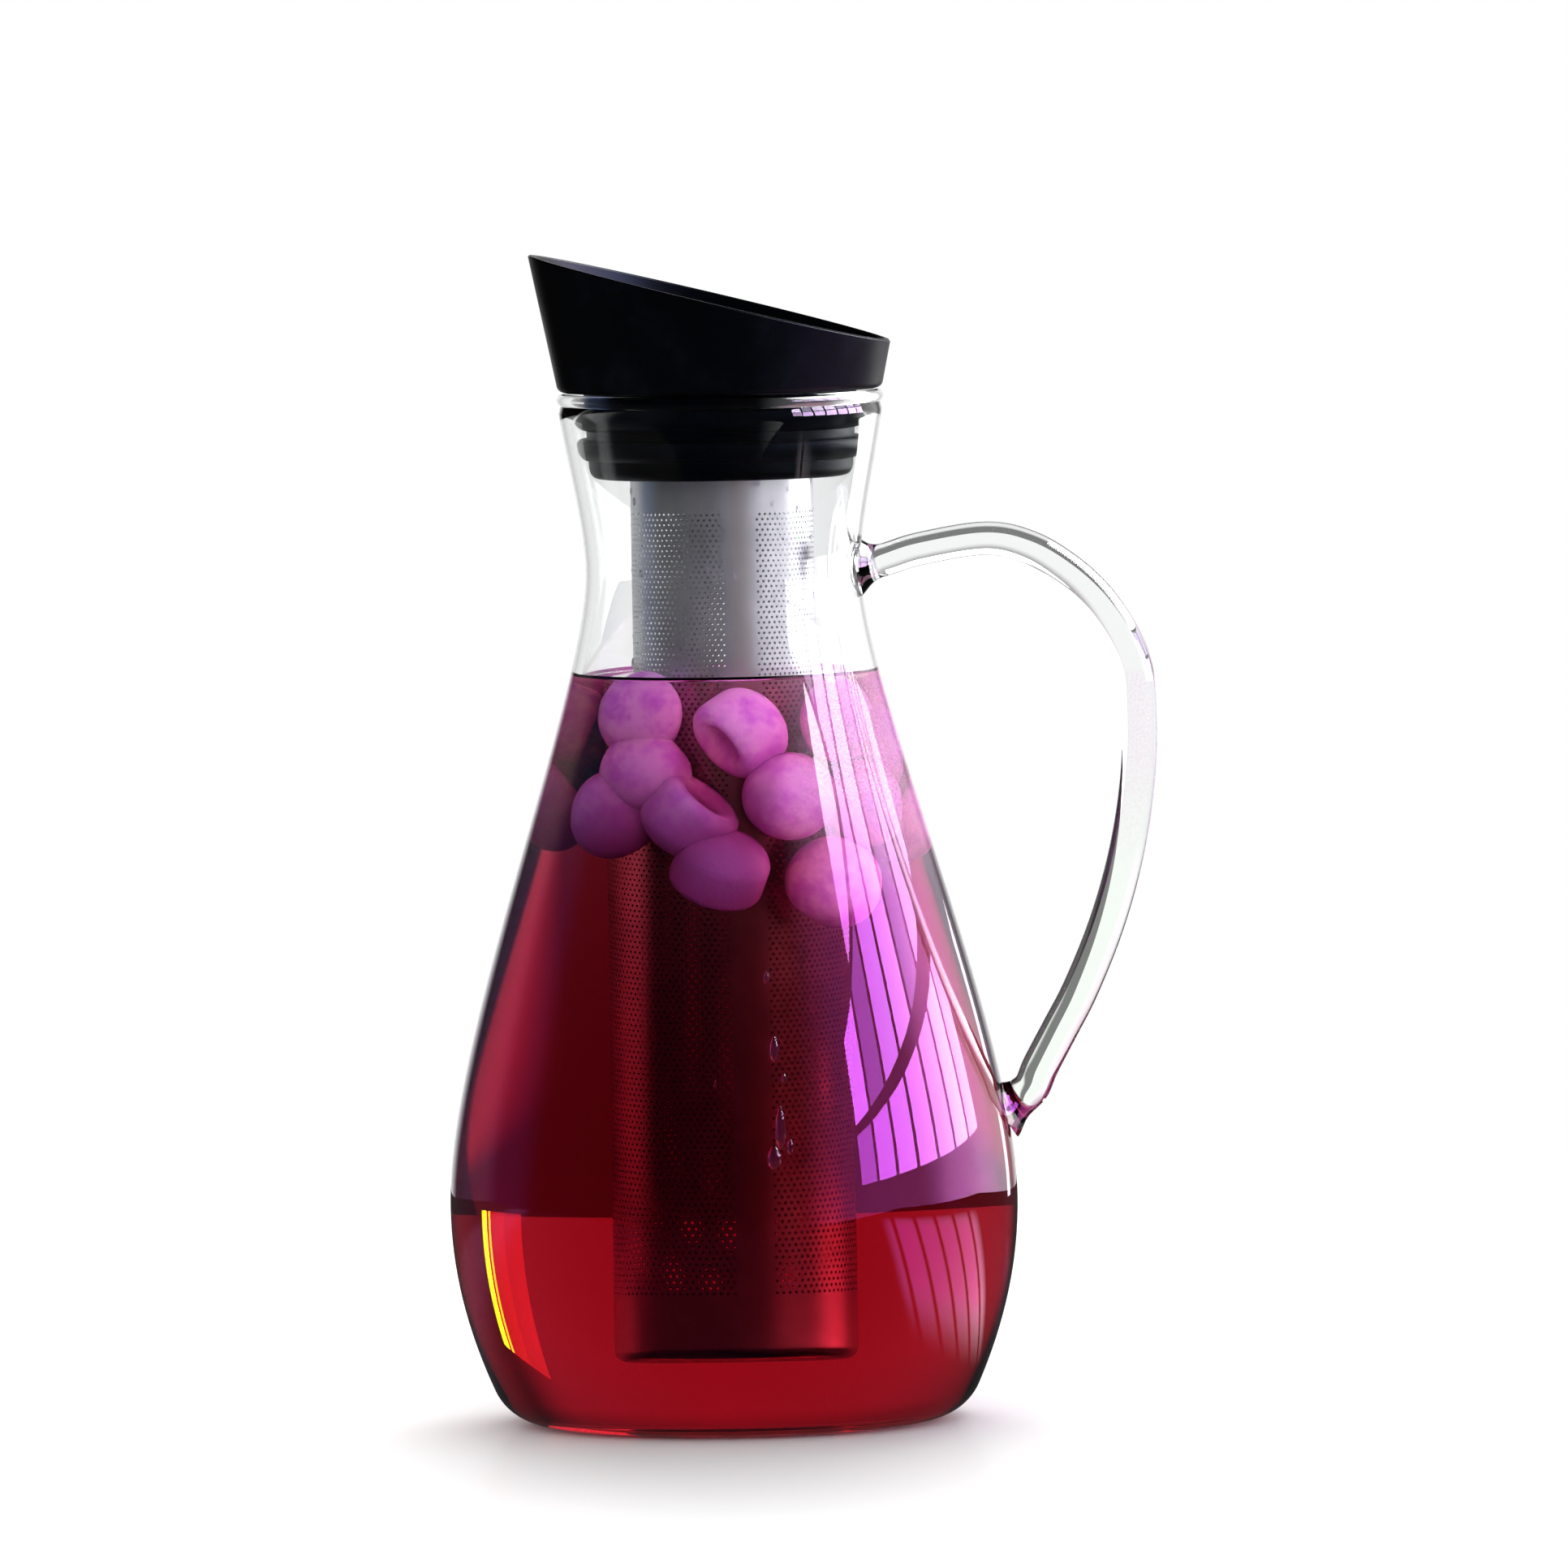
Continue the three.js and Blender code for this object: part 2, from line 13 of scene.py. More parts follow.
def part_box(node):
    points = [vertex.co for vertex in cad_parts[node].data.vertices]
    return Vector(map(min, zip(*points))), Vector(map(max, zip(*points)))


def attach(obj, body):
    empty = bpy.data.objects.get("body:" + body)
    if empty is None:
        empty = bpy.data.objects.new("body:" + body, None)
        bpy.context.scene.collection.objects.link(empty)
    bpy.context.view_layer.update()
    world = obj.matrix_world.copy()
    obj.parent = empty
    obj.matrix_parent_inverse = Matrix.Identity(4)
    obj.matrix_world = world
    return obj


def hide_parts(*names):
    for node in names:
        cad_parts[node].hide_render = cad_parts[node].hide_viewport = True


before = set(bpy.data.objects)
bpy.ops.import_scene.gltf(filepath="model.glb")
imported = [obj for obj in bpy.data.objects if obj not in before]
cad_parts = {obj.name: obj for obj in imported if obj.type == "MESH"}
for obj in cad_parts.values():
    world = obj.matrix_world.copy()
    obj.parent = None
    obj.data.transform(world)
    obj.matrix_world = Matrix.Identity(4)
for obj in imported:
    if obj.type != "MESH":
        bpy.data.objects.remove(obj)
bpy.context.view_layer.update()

# Carafe
GLASS_WALL = 0.0026
FLOOR_THICKNESS = 0.004
BASE_RADIUS = 0.047
BASE_CORNER_RADIUS = 0.014
BASE_CORNER_TURN = 66
BELLY_RADIUS = 0.07
BELLY_HEIGHT = 0.054
NECK_RADIUS = 0.0338
NECK_HEIGHT = 0.21
MOUTH_RADIUS = 0.0398
MOUTH_HEIGHT = 0.249
MOUTH_LEAN = 8
GLASS_HEIGHT = 0.254
RIM_BEAD_RADIUS = 0.0017
RIM_BEAD_START = 60
LOWER_FULLNESS_SHARE = 0.35
BELLY_FULLNESS_SHARE = 0.27
NECK_FULLNESS_SHARE = 0.19
FLARE_FULLNESS_SHARE = 0.28

# Handle
ROD_RADIUS_AT_NECK = 0.0040
ROD_RADIUS_AT_BELLY = 0.0046
ROOT_DEPTH = 0.0017
UPPER_ROOT_HEIGHT = 0.2105
LOWER_ROOT_HEIGHT = 0.0755
UPPER_ROOT_FLARE = 0.0042
LOWER_ROOT_FLARE = 0.0034
ROOT_FLARE_LENGTH = 0.0035
HANDLE_STEPS = 8
# [x, z] of the rod's middle line, from the neck to the belly
HANDLE_LINE = [
    (0.0395, 0.2117),
    (0.0485, 0.2143),
    (0.0647, 0.2166),
    (0.0753, 0.2143),
    (0.0844, 0.2088),
    (0.0919, 0.2017),
    (0.0978, 0.1928),
    (0.1012, 0.1841),
    (0.1019, 0.1745),
    (0.1017, 0.1621),
    (0.1000, 0.1477),
    (0.0969, 0.1334),
    (0.0923, 0.1190),
    (0.0862, 0.1047),
    (0.0811, 0.0952),
    (0.0762, 0.0862),
    (0.0732, 0.0802),
]

# Tea and ice. The tea reaches a little into the glass, so that no air lies between them.
TEA_HEIGHT = 0.184
TEA_BITE = 0.0018
WET_EDGE = 0.0008
MENISCUS_RISE = 0.0013
MENISCUS_REACH = 0.0026
MENISCUS_STEPS = 8
ICE_RADIUS = 0.0108
ICE_LENGTH = 0.0165
ICE_HOLLOW_RADIUS = 0.0046
ICE_HOLLOW_DEPTH = 0.008
ICE_DOME_SHARE = 0.45
ICE_GAP = 0.0008

# Stopper. The collar is turned taller than its spout, and the rest is cut off.
COLLAR_FOOT_RADIUS = 0.0402
COLLAR_BOTTOM = 0.2543
COLLAR_FLARE = 11
COLLAR_WALL = 0.0022
COLLAR_FLOOR = 0.003
COLLAR_CORNER = 0.0018
COLLAR_HOLE_RADIUS = 0.0338
SPOUT_HEIGHT = 0.034
BLANK_HEIGHT_SHARE = 1.2
BACK_HEIGHT = 0.0115
RIM_SOFTNESS = 0.00035
PLUG_TOP_RADIUS = 0.0335
PLUG_BOTTOM_RADIUS = 0.0323
PLUG_BOTTOM = 0.2333
PLUG_CORNER = 0.0022
SKIN = 0.00012
SEAL_BEVEL = 0.0006
# The bevel at a seal's edge: shares of it, inwards from the edge and down from the top
SEAL_BEVEL_SHARES = [(0, 1.4), (1, 0.2), (2, 0)]

# Infuser
SHEET = 0.0005
HOLE_RADIUS = 0.00034
HOLE_SIDES = 6
HOLE_COLUMNS = 98
HOLE_ROW_PITCH = 0.00128
PLAIN_TOP = 0.0081
PLAIN_BOTTOM = 0.0112
SEAM_TURN = -79
SEAM_WIDTH = 0.0066
CAP_CORNER = 0.0025
RING_LIP_SHARE = 2.6
RING_LOW_CORNER_SHARE = 0.4
RING_TOP_CORNER_SHARE = 0.8

# Camera, worked out from the photograph's framing
CAMERA_DISTANCE = 4.5
CAMERA_HEIGHT = 0.42
VIEW_WIDTH = 0.3864
VIEW_MIDDLE = Vector((0.0141, 0, 0.1568))
CAMERA_ROLL = -1.0
SENSOR_WIDTH = 36


class Shade:
    """A number, colour or vector in a shader, so that a sum written with it adds its Math nodes."""

    def __init__(self, nodes, socket):
        self.nodes = nodes
        self.socket = socket

    def __add__(self, other):
        return self.nodes.maths("ADD", self, other)

    def __sub__(self, other):
        return self.nodes.maths("SUBTRACT", self, other)

    def __mul__(self, other):
        return self.nodes.maths("MULTIPLY", self, other)

    def __rsub__(self, other):
        return self.nodes.maths("SUBTRACT", other, self)

    __radd__ = __add__
    __rmul__ = __mul__

    def at_least(self, other):
        return self.nodes.maths("MAXIMUM", self, other)

    def ramp(self, start, end, low=0, high=1):
        """Runs smoothly from low at start to high at end."""
        settings = {"interpolation_type": "SMOOTHSTEP"}
        values = {"Value": self, "From Min": start, "From Max": end, "To Min": low, "To Max": high}
        return self.nodes.add("ShaderNodeMapRange", settings, values)


class Nodes:
    """The nodes of one material, of a lamp or of the world."""

    def __init__(self, owner):
        owner.use_nodes = True
        self.tree = owner.node_tree
        self.tree.nodes.clear()

    def add(self, kind, settings=None, values=None, output=0):
        """A new node with its settings made first. Gives back one of its outputs, where it has any."""
        node = self.tree.nodes.new(kind)
        for name, setting in (settings or {}).items():
            setattr(node, name, setting)
        for name, value in (values or {}).items():
            self.feed(node.inputs[name], value)
        return Shade(self, node.outputs[output]) if node.outputs else None

    def outputs(self, kind, values=None):
        """All outputs of a new node, by their names."""
        node = self.add(kind, None, values).socket.node
        return {out.name: Shade(self, out) for out in node.outputs}

    def feed(self, socket, value):
        if isinstance(value, Shade):
            self.tree.links.new(value.socket, socket)
        else:
            socket.default_value = value

    def maths(self, operation, *values):
        return self.add("ShaderNodeMath", {"operation": operation}, dict(enumerate(values)))

    def mix(self, share, first, second):
        """A mix of two colours, which this node takes at its sockets 6 and 7 and gives at socket 2."""
        return self.add("ShaderNodeMix", {"data_type": "RGBA"}, {0: share, 6: first, 7: second}, output=2)

    def choose(self, share, first, second):
        """A number between two others: the first at a share of 0, the second at 1."""
        return first + share * (second - first)

    def place(self):
        return self.add("ShaderNodeTexCoord", output="Object")

    def noise(self, scale, detail, roughness=0.5, vector=None):
        values = {"Vector": vector or self.place(), "Scale": scale, "Detail": detail, "Roughness": roughness}
        return self.add("ShaderNodeTexNoise", None, values)

    def stretched(self, x, y, z):
        """The place on the object, with each axis scaled by its own factor."""
        return self.add("ShaderNodeMapping", None, {"Vector": self.place(), "Scale": (x, y, z)})

    def axes(self, vector):
        return self.outputs("ShaderNodeSeparateXYZ", {0: vector}).values()

    def length(self, x, y):
        return self.maths("SQRT", x * x + y * y)

    def bump(self, height, distance):
        return self.add("ShaderNodeBump", None, {"Height": height, "Distance": distance})

    def principled(self, values):
        return self.add("ShaderNodeBsdfPrincipled", None, values)

    def blend(self, share, first, second):
        """A mix of two shaders."""
        return self.add("ShaderNodeMixShader", None, {0: share, 1: first, 2: second})

    def emission(self, colour, strength):
        return self.add("ShaderNodeEmission", None, {"Color": colour, "Strength": strength})

    def output(self, surface, kind="Material", **others):
        self.add("ShaderNodeOutput" + kind, None, {"Surface": surface, **others})


def material(name):
    made = bpy.data.materials.new(name)
    return made, Nodes(made)


# Finishes

WHITE = (1, 1, 1, 1)
GLASS_TINT = (0.985, 0.995, 0.992, 1)
GLASS_IOR = 1.47
GLASS_WAVE_SCALE = 22
GLASS_WAVE_DEPTH = 0.00006
GLASS_SMEAR_SCALE = 60
GLASS_SMEAR_RISE = (0.52, 0.75)
GLASS_SMEAR_ROUGHNESS = 0.03
# Painted reflection colour: the violet tint that the glass gives what it mirrors where tea stands behind it
VIOLET_REFLECTION_TINT = (0.85, 0.16, 1, 1)
SHEEN_START = 0.168
SHEEN_END = 0.128
# A mist of fine drops where the glass is coldest. Its violet tint, and its growth across from left to right
# towards the window, are a painted glow: partly real mist, partly painted light
MIST_AND_GLOW_TINT = (0.98, 0.5, 0.92, 1)
MIST_RISE = (0.125, 0.17)
MIST_END = (0.1825, 0.1845)
MIST_ACROSS = (0.012, 0.03)
MIST_SHARES = (0, 0.26)
MIST_FRONT = -0.01
MIST_BEAD_SCALE = 1500
MIST_BEAD_RISE = (0.4, 0.62)
MIST_BEAD_SHARES = (0.55, 1.5)


def glass_look():
    """Clear glass. Lower down, where tea stands behind it, what the wall mirrors is tinted violet: a painted
    reflection colour.
    """
    made, nodes = material("clear_glass")
    wave = nodes.noise(GLASS_WAVE_SCALE, detail=1)
    smear = nodes.noise(GLASS_SMEAR_SCALE, detail=4, roughness=0.6)
    x, y, height = nodes.axes(nodes.place())
    clear, violet_mirroring = [
        nodes.principled(
            {
                "Base Color": GLASS_TINT,
                "Roughness": smear.ramp(*GLASS_SMEAR_RISE, 0, GLASS_SMEAR_ROUGHNESS),
                "IOR": GLASS_IOR,
                "Transmission Weight": 1,
                "Specular Tint": sheen,
                "Normal": nodes.bump(wave, GLASS_WAVE_DEPTH),
            }
        )
        for sheen in (WHITE, VIOLET_REFLECTION_TINT)
    ]
    glass = nodes.blend(height.ramp(SHEEN_END, SHEEN_START, 1, 0), clear, violet_mirroring)
    mist = nodes.principled({"Base Color": MIST_AND_GLOW_TINT, "Roughness": 1, "Specular IOR Level": 0})
    band = height.ramp(*MIST_RISE) * height.ramp(*MIST_END, 1, 0)
    beads = nodes.noise(MIST_BEAD_SCALE, detail=1).ramp(*MIST_BEAD_RISE, *MIST_BEAD_SHARES)
    # Painted glow: the mist lies only on the front and grows to the right, where the window's light falls
    amount = x.ramp(*MIST_ACROSS, *MIST_SHARES) * band * y.ramp(0, MIST_FRONT) * beads
    nodes.output(nodes.blend(amount, glass, mist))
    return made


TEA_IOR = 1.333
TEA_ABSORPTION = (0.82, 0.08, 0.24, 1)
TEA_DENSITY = 50
TEA_SIDE_SHEEN = (0.25, 0.04, 0.1, 1)
CLEAR_LIQUID = {"Base Color": WHITE, "Roughness": 0, "IOR": TEA_IOR, "Transmission Weight": 1}


def tea_look():
    """Red tea that swallows green and blue. Only its top mirrors: its side lies against the glass."""
    made, nodes = material("red_tea")
    sheens = (TEA_SIDE_SHEEN, WHITE)
    side, top = [nodes.principled({**CLEAR_LIQUID, "Specular Tint": sheen}) for sheen in sheens]
    _, _, height = nodes.axes(nodes.place())
    shader = nodes.blend(height.ramp(TEA_HEIGHT - WET_EDGE, TEA_HEIGHT), side, top)
    absorbed = {"Color": TEA_ABSORPTION, "Density": TEA_DENSITY}
    nodes.output(shader, Volume=nodes.add("ShaderNodeVolumeAbsorption", None, absorbed))
    return made


# Painted light colour: the ice's pink-violet stands in for the violet window light and the tea round it
ICE_VIOLET_LIT = (1, 0.5, 1, 1)
ICE_CLOUD = (0.75, 0.24, 0.85, 1)
# Painted shade: the ice's colour is darker lower down in the tea and to the left, away from the window
ICE_PAINTED_SHADE = (0.34, 0.09, 0.34, 1)
ICE_SHADE_RISE = (0.142, 0.174)
ICE_SHADE_ACROSS = (0.004, 0.016)
ICE_CLOUD_SCALE = 130
ICE_CLOUD_RISE = (0.35, 0.65)
ICE_FROST_SCALE = 700
ICE_FROST_RISE = (0.3, 0.7)
ICE_FROST_DEPTH = 0.00018
ICE_ROUGHNESS = (0.5, 0.7)
ICE_SHINE = 0.08
ICE_GLOW_SHARE = 0.6
ICE_GLOW_REACH = 0.005
ICE_GLOW_REACH_SHARES = (1, 0.35, 1)


def ice_look():
    """Cloudy ice with a frosted skin, lit from within."""
    made, nodes = material("frosted_ice")
    cloud = nodes.noise(ICE_CLOUD_SCALE, detail=4, roughness=0.6).ramp(*ICE_CLOUD_RISE)
    frost = nodes.noise(ICE_FROST_SCALE, detail=3, roughness=0.7)
    x, _, height = nodes.axes(nodes.place())
    # Painted shade: the share of lit colour grows upwards and to the right
    lit = height.ramp(*ICE_SHADE_RISE).at_least(x.ramp(*ICE_SHADE_ACROSS))
    shader = nodes.principled(
        {
            "Base Color": nodes.mix(lit, ICE_PAINTED_SHADE, nodes.mix(cloud, ICE_CLOUD, ICE_VIOLET_LIT)),
            "Roughness": frost.ramp(*ICE_FROST_RISE, *ICE_ROUGHNESS),
            "Specular IOR Level": ICE_SHINE,
            "Subsurface Weight": ICE_GLOW_SHARE,
            "Subsurface Radius": ICE_GLOW_REACH_SHARES,
            "Subsurface Scale": ICE_GLOW_REACH,
            "Normal": nodes.bump(frost, ICE_FROST_DEPTH),
        }
    )
    nodes.output(shader)
    return made


STEEL_BRIGHT = (0.66, 0.67, 0.69, 1)
STEEL_DULL = (0.5, 0.51, 0.53, 1)
STEEL_WELD = (0.58, 0.55, 0.5, 1)
STEEL_WELD_SHARE = 0.6
STEEL_CLOUD_SCALE = 45
STEEL_CLOUD_RISE = (0.35, 0.65)
STEEL_GRAIN_SCALE = 900
STEEL_GRAIN_STRETCH = 0.04
STEEL_GRAIN_DEPTH = 0.00002
STEEL_GRAIN_ROUGHNESS = 0.08
# Above the tea the steel is misted, so it is less of a mirror there
STEEL_DRY_RISE = (0.3, 0.7)
STEEL_DRY_ROUGHNESS = (0.28, 0.4)
STEEL_WET_ROUGHNESS = 0.3
STEEL_MISTED_METAL = 0.6
WET_FADE = 0.03


def steel_look(name, seam=False):
    """Rolled stainless sheet: a fine grain, faint clouds, and the weld's straw tint at the seam."""
    made, nodes = material(name)
    x, y, height = nodes.axes(nodes.place())
    cloud = nodes.noise(STEEL_CLOUD_SCALE, detail=4)
    grain = nodes.noise(STEEL_GRAIN_SCALE, detail=2, vector=nodes.stretched(1, 1, STEEL_GRAIN_STRETCH))
    tint = nodes.mix(cloud.ramp(*STEEL_CLOUD_RISE), STEEL_DULL, STEEL_BRIGHT)
    if seam:
        turn = math.radians(SEAM_TURN)
        across = x * -math.sin(turn) + y * math.cos(turn)
        front = x * math.cos(turn) + y * math.sin(turn)
        weld = (across * across).ramp((SEAM_WIDTH / 2) ** 2, 0) * front.ramp(0, SEAM_WIDTH)
        tint = nodes.mix(weld * STEEL_WELD_SHARE, tint, STEEL_WELD)
    wet = height.ramp(TEA_HEIGHT, TEA_HEIGHT - WET_FADE)
    dry = cloud.ramp(*STEEL_DRY_RISE, *STEEL_DRY_ROUGHNESS) + grain * STEEL_GRAIN_ROUGHNESS
    shader = nodes.principled(
        {
            "Base Color": tint,
            "Metallic": nodes.choose(wet, STEEL_MISTED_METAL, 1),
            "Roughness": nodes.choose(wet, dry, STEEL_WET_ROUGHNESS),
            "Normal": nodes.bump(grain, STEEL_GRAIN_DEPTH),
        }
    )
    nodes.output(shader)
    return made


# Painted reflection colour: the black plastic and silicone mirror their surroundings tinted navy
NAVY_REFLECTION_TINT = (0.4, 0.6, 1, 1)
MOULDED_SHINE = 0.07
MOULDED_GRAIN_SCALE = 2400
MOULDED_MARKS_SCALE = 38
MOULDED_MARKS_RISE = (0.3, 0.75)
MOULDED_MARKS_ROUGHNESS = 0.12
MOULDED_SCUFF_RISE = (0.5, 0.8)
# Tint, tint where scuffed, roughness and depth of the grain
PLASTIC = ((0.0015, 0.0015, 0.002, 1), (0.004, 0.005, 0.008, 1), 0.33, 0.00002)
SILICONE = ((0.002, 0.003, 0.005, 1), (0.006, 0.008, 0.014, 1), 0.3, 0.00001)


def moulded_look(name, tint, scuffed, roughness, grain_depth):
    """Moulded black plastic or silicone: a fine grain, faint handling marks, lighter scuffs and a painted
    navy tint on what it mirrors.
    """
    made, nodes = material(name)
    grain = nodes.noise(MOULDED_GRAIN_SCALE, detail=2)
    marks = nodes.noise(MOULDED_MARKS_SCALE, detail=5, roughness=0.65)
    shader = nodes.principled(
        {
            "Base Color": nodes.mix(marks.ramp(*MOULDED_SCUFF_RISE), tint, scuffed),
            "Roughness": marks.ramp(*MOULDED_MARKS_RISE, roughness, roughness + MOULDED_MARKS_ROUGHNESS),
            "Specular IOR Level": MOULDED_SHINE,
            "Specular Tint": NAVY_REFLECTION_TINT,
            "Normal": nodes.bump(grain, grain_depth),
        }
    )
    nodes.output(shader)
    return made


def water_look():
    made, nodes = material("water_drops")
    nodes.output(nodes.principled(CLEAR_LIQUID))
    return made


# Shapes

SIDES = 160
FINE_SIDES = 192
ICE_SIDES = 40
ROD_SIDES = 32
# Edges sharper than this many degrees stay sharp
SHARP_ANGLE = 40
SEAL_SHARP_ANGLE = 50
GLASS_SHARP_ANGLE = 60
BEAD_SHARP_ANGLE = 80


def mesh_object(name, vertices, faces, look):
    mesh = bpy.data.meshes.new(name)
    mesh.from_pydata(vertices, [], faces)
    mesh.update()
    made = bpy.data.objects.new(name, mesh)
    bpy.context.scene.collection.objects.link(made)
    mesh.materials.append(look)
    return made


def smooth(obj, angle=SHARP_ANGLE):
    mesh = obj.data
    mesh.polygons.foreach_set("use_smooth", [True] * len(mesh.polygons))
    mesh.set_sharp_from_angle(angle=math.radians(angle))
    return obj


def lathe(name, profile, look, sides=SIDES, closed=False, angle=SHARP_ANGLE):
    """Turns [radius, height] pairs about Z. Pairs on the axis become one point."""
    vertices = []
    rings = []
    for radius, height in profile:
        if radius == 0:
            rings.append([len(vertices)] * sides)
            vertices.append((0, 0, height))
            continue
        rings.append(range(len(vertices), len(vertices) + sides))
        for i in range(sides):
            turn = 2 * math.pi * i / sides
            vertices.append((radius * math.cos(turn), radius * math.sin(turn), height))
    faces = []
    pairs = list(zip(rings, rings[1:]))
    if closed:
        pairs.append((rings[-1], rings[0]))
    for low, high in pairs:
        for i in range(sides):
            j = (i + 1) % sides
            corners = dict.fromkeys((low[i], low[j], high[j], high[i]))
            if len(corners) > 2:
                faces.append(tuple(corners))
    return smooth(mesh_object(name, vertices, faces, look), angle)


def sweep(name, points, radii, look, sides=ROD_SIDES):
    """A round bar along a line in the XZ plane, with its own radius at each point."""
    vertices = []
    faces = []
    for i, point in enumerate(points):
        along = (points[min(i + 1, len(points) - 1)] - points[max(i - 1, 0)]).normalized()
        side = Vector((0, 1, 0))
        up = along.cross(side)
        for k in range(sides):
            turn = 2 * math.pi * k / sides
            vertices.append(point + radii[i] * (side * math.cos(turn) + up * math.sin(turn)))
    for i in range(len(points) - 1):
        for k in range(sides):
            n = (k + 1) % sides
            faces.append((i * sides + k, i * sides + n, (i + 1) * sides + n, (i + 1) * sides + k))
    faces.append(tuple(reversed(range(sides))))
    faces.append(tuple(range((len(points) - 1) * sides, len(points) * sides)))
    made = mesh_object(name, vertices, faces, look)
    turn_outwards(made)
    return smooth(made)


def turn_outwards(obj):
    shape = bmesh.new()
    shape.from_mesh(obj.data)
    bmesh.ops.recalc_face_normals(shape, faces=shape.faces)
    shape.to_mesh(obj.data)
    shape.free()


def arc(centre, radius, start, end, steps):
    points = []
    for i in range(steps + 1):
        turn = math.radians(start + (end - start) * i / steps)
        points.append((centre[0] + radius * math.cos(turn), centre[1] + radius * math.sin(turn)))
    return points


def bezier(a, b, c, d, steps):
    points = []
    for i in range(steps + 1):
        t = i / steps
        weights = ((1 - t) ** 3, 3 * t * (1 - t) ** 2, 3 * t ** 2 * (1 - t), t ** 3)
        points.append(tuple(sum(w * p[k] for w, p in zip(weights, (a, b, c, d))) for k in range(2)))
    return points


def radius_at(line, height):
    for low, high in zip(line, line[1:]):
        if high[1] >= height:
            return low[0] + (high[0] - low[0]) * (height - low[1]) / (high[1] - low[1])
    return line[-1][0]


def offset(line, distance):
    """The line moved inwards by a distance, square to itself."""
    moved = []
    for i, (radius, height) in enumerate(line):
        before = line[max(i - 1, 0)]
        after = line[min(i + 1, len(line) - 1)]
        dr = after[0] - before[0]
        dz = after[1] - before[1]
        length = math.hypot(dr, dz)
        moved.append((radius - dz / length * distance, height + dr / length * distance))
    return moved


def cut_below(line, height):
    """The stretch of a line above a height."""
    return [(radius_at(line, height), height)] + [point for point in line if point[1] > height]


def outside_wall():
    """[radius, height] up the outside of the glass, from the edge of its flat base to under the rim."""
    centre = (BASE_RADIUS, BASE_CORNER_RADIUS)
    corner = arc(centre, BASE_CORNER_RADIUS, -90, BASE_CORNER_TURN - 90, steps=12)
    start = corner[-1]
    lean = math.radians(90 - BASE_CORNER_TURN)
    pull = (BELLY_HEIGHT - start[1]) * LOWER_FULLNESS_SHARE
    lower = bezier(
        start,
        (start[0] + pull * math.sin(lean), start[1] + pull * math.cos(lean)),
        (BELLY_RADIUS, BELLY_HEIGHT - pull),
        (BELLY_RADIUS, BELLY_HEIGHT),
        steps=16,
    )
    rise = NECK_HEIGHT - BELLY_HEIGHT
    shoulder = bezier(
        (BELLY_RADIUS, BELLY_HEIGHT),
        (BELLY_RADIUS, BELLY_HEIGHT + rise * BELLY_FULLNESS_SHARE),
        (NECK_RADIUS, NECK_HEIGHT - rise * NECK_FULLNESS_SHARE),
        (NECK_RADIUS, NECK_HEIGHT),
        steps=56,
    )
    pull = (MOUTH_HEIGHT - NECK_HEIGHT) * FLARE_FULLNESS_SHARE
    lean = math.radians(MOUTH_LEAN)
    flare = bezier(
        (NECK_RADIUS, NECK_HEIGHT),
        (NECK_RADIUS, NECK_HEIGHT + pull),
        (MOUTH_RADIUS - pull * math.sin(lean), MOUTH_HEIGHT - pull * math.cos(lean)),
        (MOUTH_RADIUS, MOUTH_HEIGHT),
        steps=18,
    )
    return corner + lower[1:] + shoulder[1:] + flare[1:]


OUTSIDE = outside_wall()
INSIDE = cut_below(offset(OUTSIDE, GLASS_WALL), FLOOR_THICKNESS)


def catmull(a, b, c, d, t):
    """The place at a share t of the way from b to c, on a smooth line through all four."""
    slope = (c - a) * t
    bend = (2 * a - 5 * b + 4 * c - d) * t ** 2
    twist = (3 * b - a - 3 * c + d) * t ** 3
    return 0.5 * (2 * b + slope + bend + twist)


def handle_points():
    """The rod's middle line, led into the wall square to it at both ends, and the rod's radius along it."""
    neck = radius_at(OUTSIDE, UPPER_ROOT_HEIGHT)
    belly = radius_at(OUTSIDE, LOWER_ROOT_HEIGHT)
    route = [(neck - ROOT_DEPTH, UPPER_ROOT_HEIGHT), *HANDLE_LINE, (belly - ROOT_DEPTH, LOWER_ROOT_HEIGHT)]
    route = [Vector((x, 0, z)) for x, z in route]
    points = []
    last = len(route) - 1
    for i in range(last):
        near = [route[k] for k in (max(i - 1, 0), i, i + 1, min(i + 2, last))]
        points += [catmull(*near, k / HANDLE_STEPS) for k in range(HANDLE_STEPS)]
    points.append(route[-1])
    length = sum((q - p).length for p, q in zip(points, points[1:]))
    radii = []
    gone = 0
    for i, point in enumerate(points):
        if i:
            gone += (point - points[i - 1]).length
        share = gone / length
        radius = ROD_RADIUS_AT_NECK + (ROD_RADIUS_AT_BELLY - ROD_RADIUS_AT_NECK) * share
        radius += UPPER_ROOT_FLARE * math.exp(-((gone / ROOT_FLARE_LENGTH) ** 2))
        radius += LOWER_ROOT_FLARE * math.exp(-(((length - gone) / ROOT_FLARE_LENGTH) ** 2))
        radii.append(radius)
    return points, radii


def join_solids(first, second):
    """Leaves the first as the union of both."""
    union = first.modifiers.new("union", "BOOLEAN")
    union.operation = "UNION"
    union.solver = "EXACT"
    union.object = second
    graph = bpy.context.evaluated_depsgraph_get()
    mesh = bpy.data.meshes.new_from_object(first.evaluated_get(graph))
    first.modifiers.clear()
    first.data = mesh
    bpy.data.objects.remove(second)
    return smooth(first, GLASS_SHARP_ANGLE)


